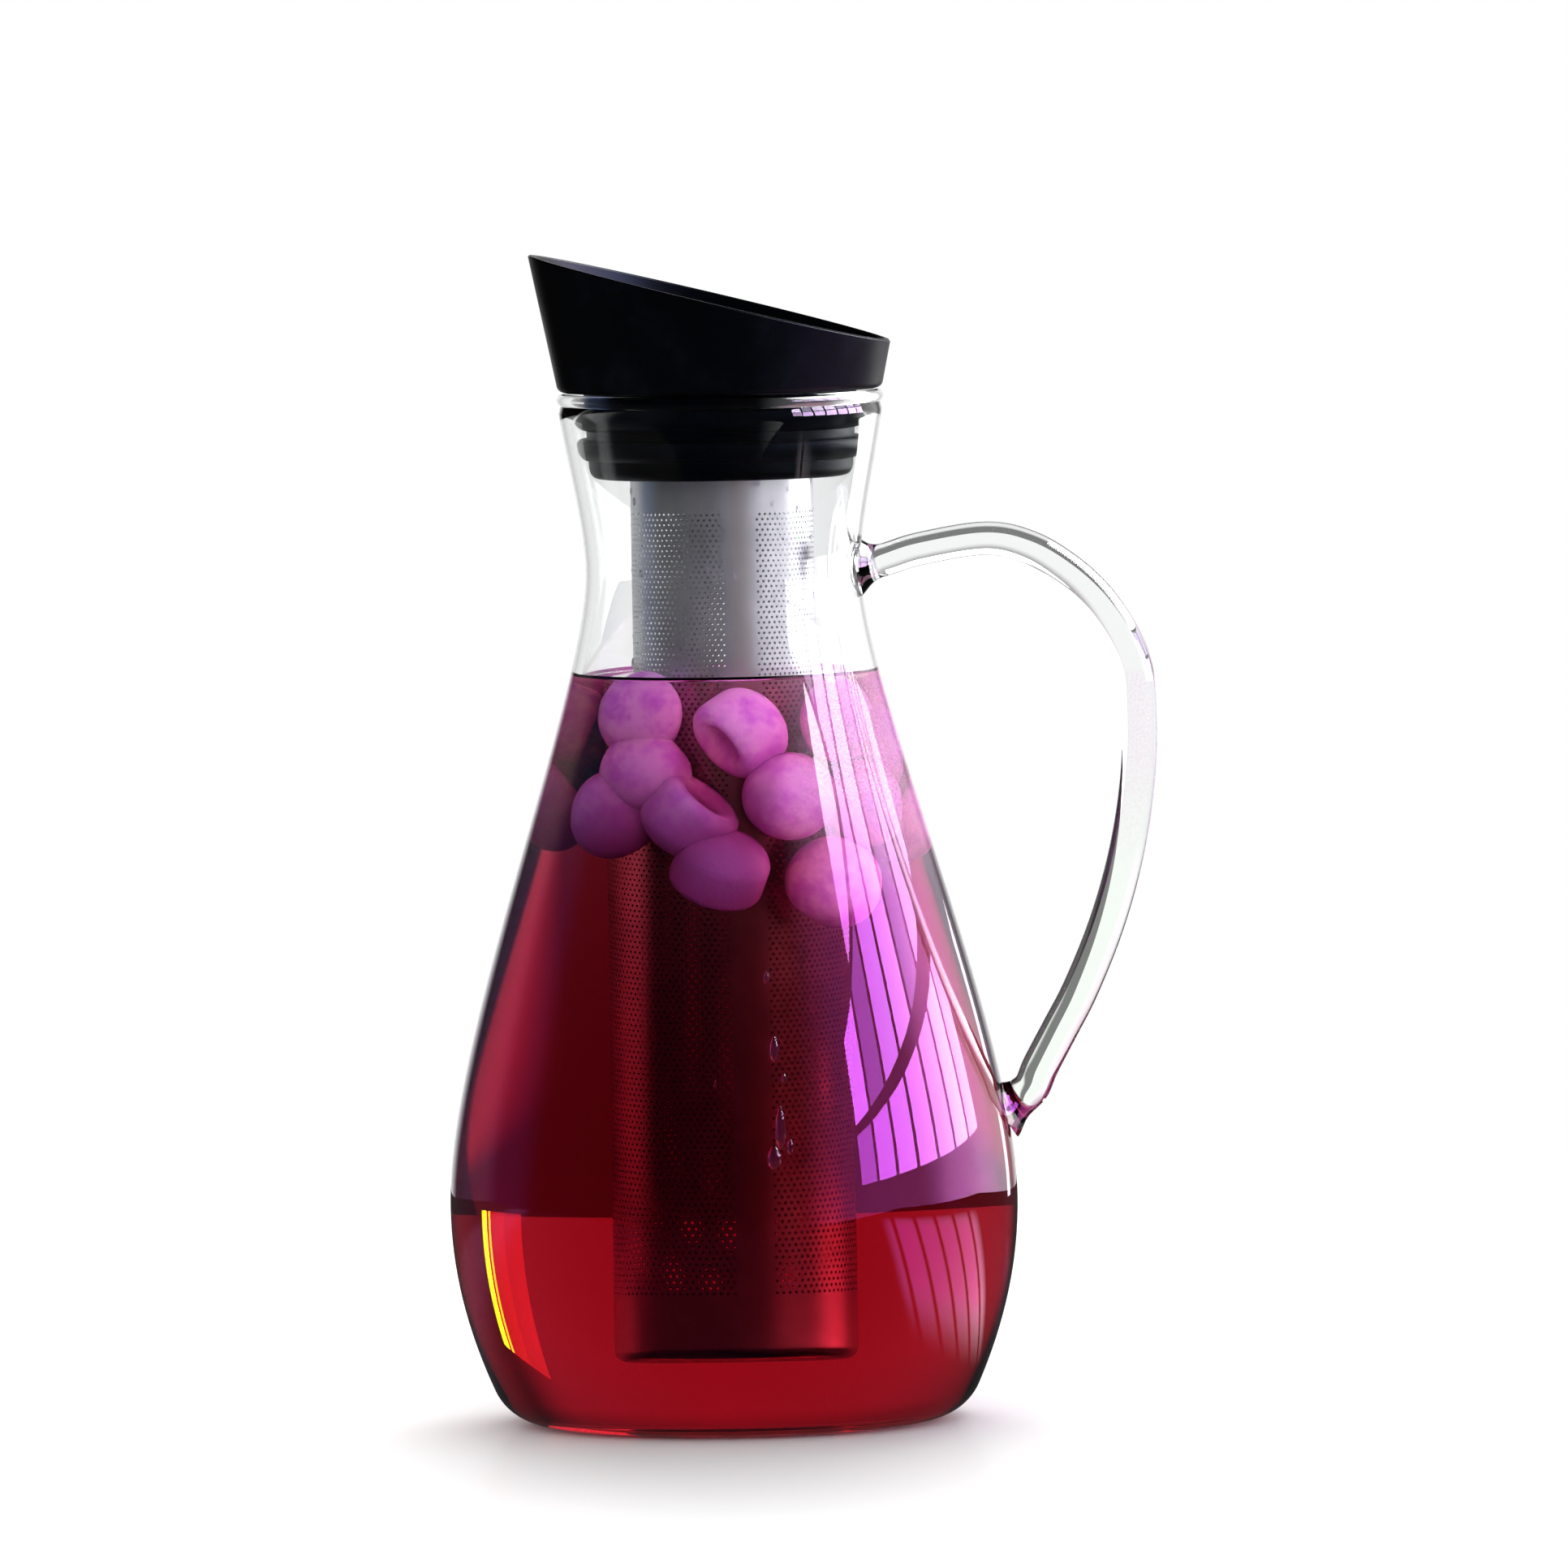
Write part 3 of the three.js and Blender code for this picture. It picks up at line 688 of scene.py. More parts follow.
def blown_glass(look):
    """The carafe with its fire-polished rim and the handle, as one piece of glass."""
    rim_centre = (MOUTH_RADIUS - GLASS_WALL / 2, GLASS_HEIGHT - RIM_BEAD_RADIUS)
    rim = arc(rim_centre, RIM_BEAD_RADIUS, -RIM_BEAD_START, 180 + RIM_BEAD_START, steps=16)
    profile = [(0, 0), *OUTSIDE, *rim, *reversed(INSIDE), (0, FLOOR_THICKNESS)]
    body = lathe("blown_glass_carafe", profile, look, sides=FINE_SIDES, angle=GLASS_SHARP_ANGLE)
    points, radii = handle_points()
    handle = sweep("glass_handle_rod", points, radii, look)
    return join_solids(body, handle)


def iced_tea(look):
    """The tea, with the edge of its surface drawn up along the glass."""
    side = offset(OUTSIDE, GLASS_WALL - TEA_BITE)
    edge = radius_at(side, TEA_HEIGHT)
    bottom = FLOOR_THICKNESS - TEA_BITE
    wall = cut_below([point for point in side if point[1] < TEA_HEIGHT], bottom)
    surface = []
    for i in range(MENISCUS_STEPS + 1):
        share = i / MENISCUS_STEPS
        surface.append((edge - MENISCUS_REACH * share, TEA_HEIGHT + MENISCUS_RISE * (1 - share) ** 2))
    profile = [(0, bottom), *wall, *surface, (0, TEA_HEIGHT)]
    return lathe("iced_tea", profile, look, angle=GLASS_SHARP_ANGLE)


def ice_piece(name, look):
    """A thimble of ice: domed at its closed end, with the hollow that the freezing rod left."""
    top = ICE_LENGTH / 2
    bottom = -top
    dome = arc((0, 0), 1, -90, 0, steps=12)
    outside = [(ICE_RADIUS * r, bottom + ICE_LENGTH * ICE_DOME_SHARE * (1 + z)) for r, z in dome]
    lip = (ICE_RADIUS - ICE_HOLLOW_RADIUS) / 2
    mouth = arc((ICE_RADIUS - lip, top - lip), lip, 0, 180, steps=12)
    hollow = arc((0, 0), 1, 0, -90, steps=10)
    inside = [(ICE_HOLLOW_RADIUS * r, top - lip + (ICE_HOLLOW_DEPTH - lip) * z) for r, z in hollow]
    outside[0] = (0, bottom)
    inside[-1] = (0, inside[-1][1])
    return lathe(name, [*outside, *mouth, *inside[1:]], look, sides=ICE_SIDES, angle=BEAD_SHARP_ANGLE)


# Each piece of ice: degrees round from the front, height, and the way that its domed end faces
ICE_PLACES = [
    (-39, 0.1755, (-0.2, -0.9, 0.3)),
    (-36, 0.1610, (-0.5, -0.6, 0.5)),
    (-48, 0.1500, (-0.3, -0.95, 0.0)),
    (-17, 0.1490, (-0.62, 0.25, -0.74)),
    (-2, 0.1385, (0.3, -0.4, 0.87)),
    (9, 0.1715, (0.7, 0.5, 0.5)),
    (25, 0.1545, (0.05, -1, 0.05)),
    (39, 0.1335, (-0.4, -0.8, 0.4)),
    (54, 0.1725, (0.3, -0.9, 0.2)),
    (62, 0.1500, (0.2, -0.7, -0.6)),
    (84, 0.1650, (0.6, -0.4, 0.6)),
    (100, 0.1430, (0.5, 0.3, -0.8)),
    (112, 0.1735, (0.8, 0.5, 0.2)),
    (135, 0.1560, (0.1, 0.9, 0.4)),
    (150, 0.1720, (-0.3, 0.6, -0.7)),
    (165, 0.1500, (0.2, 0.9, -0.2)),
    (180, 0.1670, (0.4, 0.8, 0.4)),
    (196, 0.1430, (-0.6, 0.5, 0.6)),
    (214, 0.1715, (0.1, 0.9, 0.3)),
    (220, 0.1540, (-0.4, 0.9, 0.1)),
    (246, 0.1700, (-0.9, 0.2, 0.4)),
    (-102, 0.1475, (-0.8, 0.1, -0.6)),
]


def floating_ice(look, infuser_radius):
    """Pieces of ice round the infuser, each melted flat enough to fit between infuser and glass."""
    pieces = []
    for i, (round_from_front, height, facing) in enumerate(ICE_PLACES):
        piece = ice_piece(f"ice_{i + 1:02d}", look)
        around = math.radians(round_from_front - 90)
        outwards = Vector((math.cos(around), math.sin(around), 0))
        turn = Vector((0, 0, -1)).rotation_difference(Vector(facing))
        piece.data.transform(turn.to_matrix().to_4x4())
        wall = radius_at(INSIDE, height + ICE_RADIUS / 2)
        reach = [vertex.co.dot(outwards) for vertex in piece.data.vertices]
        room = wall - infuser_radius - 2 * ICE_GAP
        melted = min(1, room / (max(reach) - min(reach)))
        from_axis = (wall + infuser_radius) / 2 - melted * (max(reach) + min(reach)) / 2
        move = Matrix.Translation(outwards * from_axis + Vector((0, 0, height)))
        piece.data.transform(move @ Matrix.Scale(melted, 4, outwards))
        pieces.append(piece)
    return pieces


def perforated_tube(look, radius, bottom, top, plug_bottom):
    """The rolled sheet: staggered rows of six-sided holes, and plain at its seam and ends."""
    halves = 2 * HOLE_COLUMNS
    pitch_turn = 2 * math.pi / HOLE_COLUMNS
    pitch = pitch_turn * radius
    first = bottom + PLAIN_BOTTOM
    last = plug_bottom - PLAIN_TOP
    rows = round((last - first) / HOLE_ROW_PITCH)
    row_pitch = (last - first) / rows
    seam_columns = math.ceil(SEAM_WIDTH / pitch)
    columns = HOLE_COLUMNS - seam_columns
    start = math.radians(SEAM_TURN) + pitch_turn * seam_columns / 2
    vertices = []
    known = {}
    faces = []

    def point(column, row):
        """A corner shared by neighbours. Places are counted in half columns and in rows."""
        key = (column % halves, row)
        if key not in known:
            known[key] = len(vertices)
            turn = start + pitch_turn * column / 2
            vertices.append((radius * math.cos(turn), radius * math.sin(turn), first + row_pitch * row))
        return known[key]

    hole = arc((0, 0), 1, 30, 330, steps=HOLE_SIDES - 1)
    for row in range(rows):
        shift = row % 2
        for column in range(columns - shift):
            left = 2 * column + shift
            # Anticlockwise from the upper right, matched to the hole's six corners
            corners = [(2, 1), (1, 1), (0, 1), (0, 0), (1, 0), (2, 0)]
            frame_points = [point(left + dx, row + dz) for dx, dz in corners]
            rim = []
            for across, up in hole:
                turn = start + pitch_turn * (left + 1) / 2 + HOLE_RADIUS * across / radius
                rim.append(len(vertices))
                height = first + row_pitch * (row + 0.5) + HOLE_RADIUS * up
                vertices.append((radius * math.cos(turn), radius * math.sin(turn), height))
            for k in range(HOLE_SIDES):
                n = (k + 1) % HOLE_SIDES
                faces.append((frame_points[k], frame_points[n], rim[n], rim[k]))
        # The plain seam, and in each shifted row the half columns beside it
        square = [(0, 0), (1, 0), (1, 1), (0, 1)]
        for half in range(2 * columns - shift, halves + shift):
            faces.append([point(half + dx, row + dz) for dx, dz in square])
    for level, height in ((0, bottom), (rows, top)):
        ring = [point(half, level) for half in range(halves)]
        edge = range(len(vertices), len(vertices) + halves)
        for half in range(halves):
            turn = start + pitch_turn * half / 2
            vertices.append((radius * math.cos(turn), radius * math.sin(turn), height))
            n = (half + 1) % halves
            faces.append((ring[half], ring[n], edge[n], edge[half]))
    made = mesh_object("perforated_infuser_tube", vertices, faces, look)
    turn_outwards(made)
    return smooth(made)


def rounded_cap(look, radius, bottom, top, corner, wall):
    """The pressed end cap: a flat bottom and a rounded lower edge, open towards the tube."""
    inner = radius - wall
    centre = (radius - corner, bottom + corner)
    outside = arc(centre, corner, -90, 0, steps=10)
    inside = arc(centre, corner - wall, 0, -90, steps=10)
    profile = [(0, bottom), *outside, (radius, top), (inner, top), *inside, (0, bottom + wall)]
    return lathe("infuser_end_cap", profile, look)


def collar_radius(height):
    return COLLAR_FOOT_RADIUS + (height - COLLAR_BOTTOM) * math.tan(math.radians(COLLAR_FLARE))


def slanted_collar(look):
    """The pouring collar: a flared wall cut on the slant from the spout's tip down to the back."""
    tall = COLLAR_BOTTOM + SPOUT_HEIGHT * BLANK_HEIGHT_SHARE
    floor_top = COLLAR_BOTTOM + COLLAR_FLOOR
    corner_centre = (COLLAR_FOOT_RADIUS - COLLAR_CORNER, COLLAR_BOTTOM + COLLAR_CORNER)
    corner = arc(corner_centre, COLLAR_CORNER, -90, -COLLAR_FLARE, steps=10)
    profile = [
        (COLLAR_HOLE_RADIUS, COLLAR_BOTTOM),
        *corner,
        (collar_radius(tall), tall),
        (collar_radius(tall) - COLLAR_WALL, tall),
        (collar_radius(floor_top) - COLLAR_WALL, floor_top),
        (COLLAR_HOLE_RADIUS, floor_top),
    ]
    made = lathe("slanted_pouring_collar", profile, look, sides=FINE_SIDES, closed=True)
    tip = Vector((-collar_radius(COLLAR_BOTTOM + SPOUT_HEIGHT), 0, COLLAR_BOTTOM + SPOUT_HEIGHT))
    back = Vector((collar_radius(COLLAR_BOTTOM + BACK_HEIGHT), 0, COLLAR_BOTTOM + BACK_HEIGHT))
    slope = (back - tip).normalized()
    shape = bmesh.new()
    shape.from_mesh(made.data)
    everything = [*shape.verts, *shape.edges, *shape.faces]
    cut = bmesh.ops.bisect_plane(
        shape, geom=everything, plane_co=tip, plane_no=Vector((-slope.z, 0, slope.x)), clear_outer=True
    )
    rims = [part for part in cut["geom_cut"] if isinstance(part, bmesh.types.BMEdge)]
    bmesh.ops.bridge_loops(shape, edges=rims)
    bmesh.ops.bevel(shape, geom=rims, offset=RIM_SOFTNESS, segments=3, affect="EDGES", clamp_overlap=True)
    bmesh.ops.recalc_face_normals(shape, faces=shape.faces)
    shape.to_mesh(made.data)
    shape.free()
    return smooth(made)


def plug_radius(height):
    share = (height - PLUG_BOTTOM) / (COLLAR_BOTTOM - PLUG_BOTTOM)
    return PLUG_BOTTOM_RADIUS + (PLUG_TOP_RADIUS - PLUG_BOTTOM_RADIUS) * share


def plug_skin(look, seals):
    """The moulded outside of the plug below, between and above its two seal rings."""
    low_seal, high_seal = sorted(seals)
    stretches = [
        (PLUG_BOTTOM + PLUG_CORNER, low_seal[0]),
        (low_seal[1], high_seal[0]),
        (high_seal[1], COLLAR_BOTTOM),
    ]
    centre = (PLUG_BOTTOM_RADIUS - PLUG_CORNER, PLUG_BOTTOM + PLUG_CORNER)
    pieces = []
    for i, (bottom, top) in enumerate(stretches):
        outside = [(plug_radius(bottom) + SKIN, bottom), (plug_radius(top) + SKIN, top)]
        if i == 0:
            outside = arc(centre, PLUG_CORNER + SKIN, -90, 0, steps=12) + outside
        inside = [(radius - 2 * SKIN, height) for radius, height in reversed(outside)]
        if i == 0:
            inside[-1] = (outside[0][0], outside[0][1] + 2 * SKIN)
        pieces.append(lathe(f"plug_skin_{i + 1}", outside + inside, look, closed=True))
    return pieces


def lip_seal(name, look, box):
    """A lip ring: flat on top, bevelled at its edge and rounded under it."""
    low, high = box
    bottom = low[2]
    reach, _, top = high
    root = plug_radius(bottom)
    fall = top - bottom - 2 * SEAL_BEVEL
    under = arc((0, 0), 1, -90, 0, steps=16)
    outside = [(root + (reach - root) * r, bottom + fall * (1 + z)) for r, z in under]
    edge = [(reach - SEAL_BEVEL * inwards, top - SEAL_BEVEL * down) for inwards, down in SEAL_BEVEL_SHARES]
    inner = root - SKIN
    profile = [(inner, bottom), *outside, *edge, (inner, top)]
    return lathe(name, profile, look, sides=FINE_SIDES, closed=True, angle=SEAL_SHARP_ANGLE)


def rolled_ring(look, box, tube_top):
    """The ring rolled over the infuser's upper edge."""
    low, high = box
    outer = high[0]
    inner = outer - SHEET
    lip = high[2]
    lip_inside = outer - SHEET * RING_LIP_SHARE
    low_corner = SHEET * RING_LOW_CORNER_SHARE
    top_corner = SHEET * RING_TOP_CORNER_SHARE
    profile = [
        (inner, low[2]),
        *arc((outer - low_corner, low[2] + low_corner), low_corner, -90, 0, steps=4),
        *arc((outer - top_corner, lip - top_corner), top_corner, 0, 90, steps=6),
        (lip_inside, lip),
        (lip_inside, tube_top + SHEET / 2),
        (inner, tube_top + SHEET / 2),
    ]
    return lathe("infuser_rolled_ring", profile, look, closed=True)


DROP_SEED = 7
DROPS_ON_INFUSER = 90
DROP_SIZES = (0.0003, 0.0011)
DROP_SIZE_SHARES = (0.5, 1)
DROP_HEIGHT_SHARES = (1, 1.6)
DROP_DEPTH_SHARE = 0.6
DROP_SUNK_SHARE = 0.1
DROP_SAG_SHARE = 0.3


def drop(vertices, faces, centre, outwards, width, height, depth, rings=5, sides=10):
    """A bead of water that hugs a wall: a flattened half ball, a little heavier at its lower end."""
    side = Vector((0, 0, 1)).cross(outwards).normalized()
    up = outwards.cross(side)
    base = len(vertices)
    for ring in range(rings):
        lift = math.radians(90 * ring / rings)
        for k in range(sides):
            turn = 2 * math.pi * k / sides
            sag = 1 - DROP_SAG_SHARE * math.sin(turn)
            flat = side * (math.cos(turn) * math.cos(lift) * width * sag)
            tall = up * (math.sin(turn) * math.cos(lift) * height)
            vertices.append(centre + flat + tall + outwards * (math.sin(lift) * depth))
    vertices.append(centre + outwards * depth)
    for ring in range(rings - 1):
        for k in range(sides):
            n = (k + 1) % sides
            a = base + ring * sides
            b = a + sides
            faces.append((a + k, a + n, b + n, b + k))
    tip = base + rings * sides
    last = base + (rings - 1) * sides
    for k in range(sides):
        faces.append((last + k, last + (k + 1) % sides, tip))
    faces.append(tuple(reversed(range(base, base + sides))))


def infuser_drops(look, radius, low, high):
    chance = random.Random(DROP_SEED)
    vertices = []
    faces = []
    for _ in range(DROPS_ON_INFUSER):
        turn = chance.uniform(0, 2 * math.pi)
        outwards = Vector((math.cos(turn), math.sin(turn), 0))
        height = chance.uniform(low, high)
        size = chance.uniform(*DROP_SIZES) * chance.uniform(*DROP_SIZE_SHARES)
        tall = size * chance.uniform(*DROP_HEIGHT_SHARES)
        centre = outwards * (radius - size * DROP_SUNK_SHARE) + Vector((0, 0, height))
        drop(vertices, faces, centre, outwards, size, tall, size * DROP_DEPTH_SHARE)
    made = mesh_object("condensation_on_infuser", vertices, faces, look)
    return smooth(made, BEAD_SHARP_ANGLE)


GLASS_DROP_DEPTH_SHARE = 0.7
GLASS_DROP_SUNK = 0.0001
# Runs of water on the glass: x, height, half width and half height
GLASS_DROPS = [
    (0.0090, 0.1132, 0.0007, 0.0016),
    (0.0106, 0.0960, 0.0011, 0.0032),
    (0.0129, 0.0889, 0.0006, 0.0011),
    (-0.0040, 0.0880, 0.0003, 0.0010),
    (0.0118, 0.0770, 0.0013, 0.0052),
    (0.0102, 0.0700, 0.0017, 0.0030),
    (0.0141, 0.0724, 0.0008, 0.0020),
]


def glass_drops(look):
    vertices = []
    faces = []
    for x, height, width, tall in GLASS_DROPS:
        radius = radius_at(OUTSIDE, height)
        outwards = Vector((x, -math.sqrt(radius * radius - x * x), 0)).normalized()
        centre = outwards * (radius - GLASS_DROP_SUNK) + Vector((0, 0, height))
        depth = width * GLASS_DROP_DEPTH_SHARE
        drop(vertices, faces, centre, outwards, width, tall, depth, rings=7, sides=16)
    made = mesh_object("water_runs_on_glass", vertices, faces, look)
    return smooth(made, BEAD_SHARP_ANGLE)


# Light

# What mirrors and glass show of the room: dark in front, navy to the left, the bright window's side to the
# right and a white wall behind, which reaches further round to the left. The wall is dimmer high up.
# Directions run from -1 to 1 to the right, to the back and up. A pair named RISE or FADE says where a level
# starts to change and where it has changed.
ROOM_IN_FRONT = 0.015
ROOM_AT_SIDES = 0.4
SIDES_RISE = (-0.05, 0.25)
SIDES_COLOUR = (0.35, 0.5, 1, 1)
NAVY_RISE = (0.3, -0.1)
# The window's side: its level in front and behind
ROOM_AT_RIGHT = (2, 9)
RIGHT_RISE = (0.45, 0.9)
BEHIND_RISE = (-0.1, 0.35)
WALL_LEAN = 0.25
WALL_RISE = (0.6, 0.8)
WALL_FADE = (0.12, 0.4)
WALL_ABOVE = 0.45
# Mirrors show the wall in a narrower band, and a bright edge to the right of it
ROOM_MIRRORED = 0.01
WALL_MIRRORED_RISE = (0.9, 0.99)
MIRRORED_EDGE_RISE = (0.3, 0.6)
MIRRORED_EDGE = 1.4
# How much of the room the inner face of a wall still mirrors, and the bounces up to which it counts as one
INNER_FACE = 0.2
INNER_FACE_FADE = (3, 4)
# Paths with this many bounces are trapped in the glass
TRAPPED_RISE = (7, 9)
ROOM_TRAPPED = 0.35
# Paths that have crossed this many surfaces have been through the tea
INSIDE_RISE = (4, 6)
SIDES_THROUGH_TEA = 0.15
RIGHT_THROUGH_TEA = 0.06
# The light on what scatters it, outside and in the tea, where it is stronger from the right
SOFT_LIGHT = 0.8
SOFT_LIGHT_INSIDE = 2.5
INSIDE_COLOUR = (0.85, 0.7, 1, 1)
FROM_RIGHT_RISE = (-0.6, 0.9)
FROM_RIGHT_SHARES = (0.5, 2)


def studio_world():
    world = bpy.data.worlds.new("studio")
    bpy.context.scene.world = world
    nodes = Nodes(world)
    right, back, up = nodes.axes(nodes.add("ShaderNodeTexCoord", output="Generated"))
    path = nodes.outputs("ShaderNodeLightPath")
    seen = path["Is Camera Ray"]
    through = path["Is Transmission Ray"]
    bounces = path["Ray Depth"]
    scattered = path["Diffuse Depth"].ramp(0, 1)
    mirrored = path["Glossy Depth"].ramp(0, 1)
    deep = path["Transmission Depth"].ramp(*INSIDE_RISE)

    trapped = bounces.ramp(*TRAPPED_RISE, 0, ROOM_TRAPPED)
    inner_face = bounces.ramp(*INNER_FACE_FADE, 1, 0) * mirrored
    straight = deep * (1 - mirrored)
    at_right = right.ramp(*RIGHT_RISE) * back.ramp(*BEHIND_RISE, *ROOM_AT_RIGHT)
    at_right = at_right * bounces.ramp(*TRAPPED_RISE, 1, 0) * straight.ramp(0, 1, 1, RIGHT_THROUGH_TEA)
    sides = back.ramp(*SIDES_RISE, ROOM_IN_FRONT, ROOM_AT_SIDES) * deep.ramp(0, 1, 1, SIDES_THROUGH_TEA)
    wall = (back - right * WALL_LEAN).ramp(*WALL_RISE)
    clear_view = nodes.choose(wall, sides + at_right, up.ramp(*WALL_FADE, 1, WALL_ABOVE)).at_least(trapped)
    clear_view = clear_view * inner_face.ramp(0, 1, 1, INNER_FACE)

    bright_edge = right.ramp(*MIRRORED_EDGE_RISE) * back.ramp(*MIRRORED_EDGE_RISE, 0, MIRRORED_EDGE)
    mirror_view = back.ramp(*WALL_MIRRORED_RISE, ROOM_MIRRORED, 1).at_least(bright_edge)

    inside = deep * scattered
    from_right = right.ramp(*FROM_RIGHT_RISE, *FROM_RIGHT_SHARES)
    soft = nodes.choose(inside, SOFT_LIGHT, from_right * SOFT_LIGHT_INSIDE)

    level = nodes.choose(through, mirror_view, clear_view)
    level = nodes.choose(scattered, level, soft)
    level = nodes.choose(seen, level, 1)
    navy = (1 - wall) * right.ramp(*NAVY_RISE) * (1 - seen) * (1 - scattered) * (1 - deep)
    colour = nodes.mix(inside, nodes.mix(navy, WHITE, SIDES_COLOUR), INSIDE_COLOUR)
    room = nodes.add("ShaderNodeBackground", None, {"Color": colour, "Strength": level})
    nodes.output(room, kind="World")


FLOOR_WIDTH = 3
FLOOR_FRONT = -0.5
FLOOR_BACK = 0.78
FLOOR_GAP = 0.0002
FLOOR_WHITE = (0.86, 0.86, 0.86, 1)
FLOOR_GLOW = 0.2
# Seen from the camera the floor glows more away from the carafe, so round its base it keeps a painted
# shadow, an ellipse stretched towards the camera
FLOOR_GLOW_SEEN = 0.35
PAINTED_SHADOW_RISE = (0.1, 0.34)
PAINTED_SHADOW_WIDE = 3.2
FLOOR_MIRROR = 0.08
FLOOR_MIRROR_ROUGHNESS = 0.2
FLOOR_IN_MIRRORS = 0.04
# The window's panes, painted on the table to the right as a glowing reflection, which only mirrors show
PAINTED_WINDOW_REFLECTION = (1, 0.35, 0.6, 1)
PAINTED_REFLECTION_STRENGTH = 5
MIRRORED_START = (0.08, 0.16)
MIRRORED_END = (0.4, 0.7)
MIRRORED_MIDDLE = -0.08
MIRRORED_TURN = (0.48, 0.36)
MIRRORED_PANES = 11
MIRRORED_BAR = (0.65, 0.95)
# How bright the floor is through the tea: dark in front, bright behind, and dark again at its far edge
FLOOR_NEAR = 0.03
FLOOR_FAR = 0.22
NEAR_RISE = (0.0, 0.14)
FAR_FALL = (0.24, 0.36)
# It is dark too to the right of the doorway
DOOR_SIDE = 0.76
BEYOND_RISE = (0, 0.03)
FLOOR_BEYOND = 0.12


def pale_floor():
    made, nodes = material("pale_floor")
    half = FLOOR_WIDTH / 2
    corners = [(-half, FLOOR_FRONT), (half, FLOOR_FRONT), (half, FLOOR_BACK), (-half, FLOOR_BACK)]
    floor = mesh_object("floor", [(x, y, 0) for x, y in corners], [range(4)], made)
    path = nodes.outputs("ShaderNodeLightPath")
    seen = path["Is Camera Ray"]
    through = path["Is Transmission Ray"]
    mirrored = path["Is Glossy Ray"]
    x, y, _ = nodes.axes(nodes.place())

    diffuse = nodes.add("ShaderNodeBsdfDiffuse", None, {"Color": FLOOR_WHITE})
    # Painted shadow: the camera's glow is zero near the carafe and rises away from it
    away = nodes.length(x * PAINTED_SHADOW_WIDE, y).ramp(*PAINTED_SHADOW_RISE, 0, FLOOR_GLOW_SEEN)
    glow = nodes.emission(WHITE, nodes.choose(seen, FLOOR_GLOW, away))
    lit = nodes.add("ShaderNodeAddShader", None, {0: diffuse, 1: glow})
    polish = {"Color": WHITE, "Roughness": FLOOR_MIRROR_ROUGHNESS}
    bright = nodes.blend(FLOOR_MIRROR * seen, lit, nodes.add("ShaderNodeBsdfGlossy", None, polish))

    # Painted reflection: the window's panes, drawn on the floor as glowing bars
    turn = nodes.maths("ARCTAN2", y, x)
    bars = nodes.maths("PINGPONG", turn * MIRRORED_PANES, 1).ramp(*MIRRORED_BAR, 1, 0)
    span = nodes.maths("ABSOLUTE", turn - MIRRORED_MIDDLE).ramp(*MIRRORED_TURN)
    panes = x.ramp(*MIRRORED_START) * x.ramp(*MIRRORED_END, 1, 0) * span * bars
    in_mirrors = panes * PAINTED_REFLECTION_STRENGTH + FLOOR_IN_MIRRORS
    far = y.ramp(*FAR_FALL, 1, FLOOR_FAR)
    beyond = (x - y * DOOR_SIDE).ramp(*BEYOND_RISE, 1, FLOOR_BEYOND)
    level = nodes.choose(through, in_mirrors, y.ramp(*NEAR_RISE, FLOOR_NEAR, far) * beyond)
    tint = nodes.mix(panes * (1 - through), WHITE, PAINTED_WINDOW_REFLECTION)
    dim = nodes.emission(tint, level)

    nodes.output(nodes.blend(mirrored.at_least(through), bright, dim))
    floor.location.z = -FLOOR_GAP


LEFTWARDS = Vector((-1, 0, 0))


def area_light(name, place, target, size, power, colour, diffuse=True):
    lamp = bpy.data.lights.new(name, "AREA")
    lamp.shape = "RECTANGLE"
    lamp.size, lamp.size_y = size
    lamp.energy = power
    lamp.color = colour
    made = bpy.data.objects.new(name, lamp)
    made.location = place
    made.rotation_euler = (Vector(target) - Vector(place)).to_track_quat("-Z", "Y").to_euler()
    made.visible_diffuse = diffuse
    bpy.context.scene.collection.objects.link(made)
    return made


def lamp_power(radiance, size):
    return radiance * math.pi * size[0] * size[1]


WINDOW_X = 1.7
WINDOW_FRONT = -1.3
WINDOW_BACK = 1.1
WINDOW_SILL = 0.2
WINDOW_COLUMNS = 7
WINDOW_PANE_HEIGHT = 0.36
WINDOW_BAR = 0.05
# Each row of panes from the sill up: radiance and colour
WINDOW_ROWS = [
    (24, (0.85, 0.6, 1)),
    (26, (0.85, 0.7, 1)),
]
# How much light each column's panes give, from the front one back: some stand half behind a curtain
WINDOW_SHARES = [
    (0.5, 0.9, 1, 1, 0.9, 1, 0.6),
    (1, 0.3, 0.8, 0.9, 0.3, 0.6, 0.4),
]


def window_light():
    """A tall window to the right: one lamp a pane, with dark glazing bars between them."""
    pane_width = (WINDOW_BACK - WINDOW_FRONT) / WINDOW_COLUMNS
    size = (pane_width - WINDOW_BAR, WINDOW_PANE_HEIGHT - WINDOW_BAR)
    for row, (radiance, colour) in enumerate(WINDOW_ROWS):
        for column in range(WINDOW_COLUMNS):
            y = WINDOW_FRONT + (column + 0.5) * pane_width
            z = WINDOW_SILL + (row + 0.5) * WINDOW_PANE_HEIGHT
            place = Vector((WINDOW_X, y, z))
            power = WINDOW_SHARES[row][column] * lamp_power(radiance, size)
            name = f"window_{row + 1}_{column + 1}"
            pane = area_light(name, place, place + LEFTWARDS, size, power, colour, diffuse=False)
            pane.visible_transmission = False


SKY_POWER = 400
SKY_COLOUR = (1, 0.97, 1)
SKY_DEPTH = 3.1
SKY_BACK = 2.2
SKY_HEIGHT = 2.0


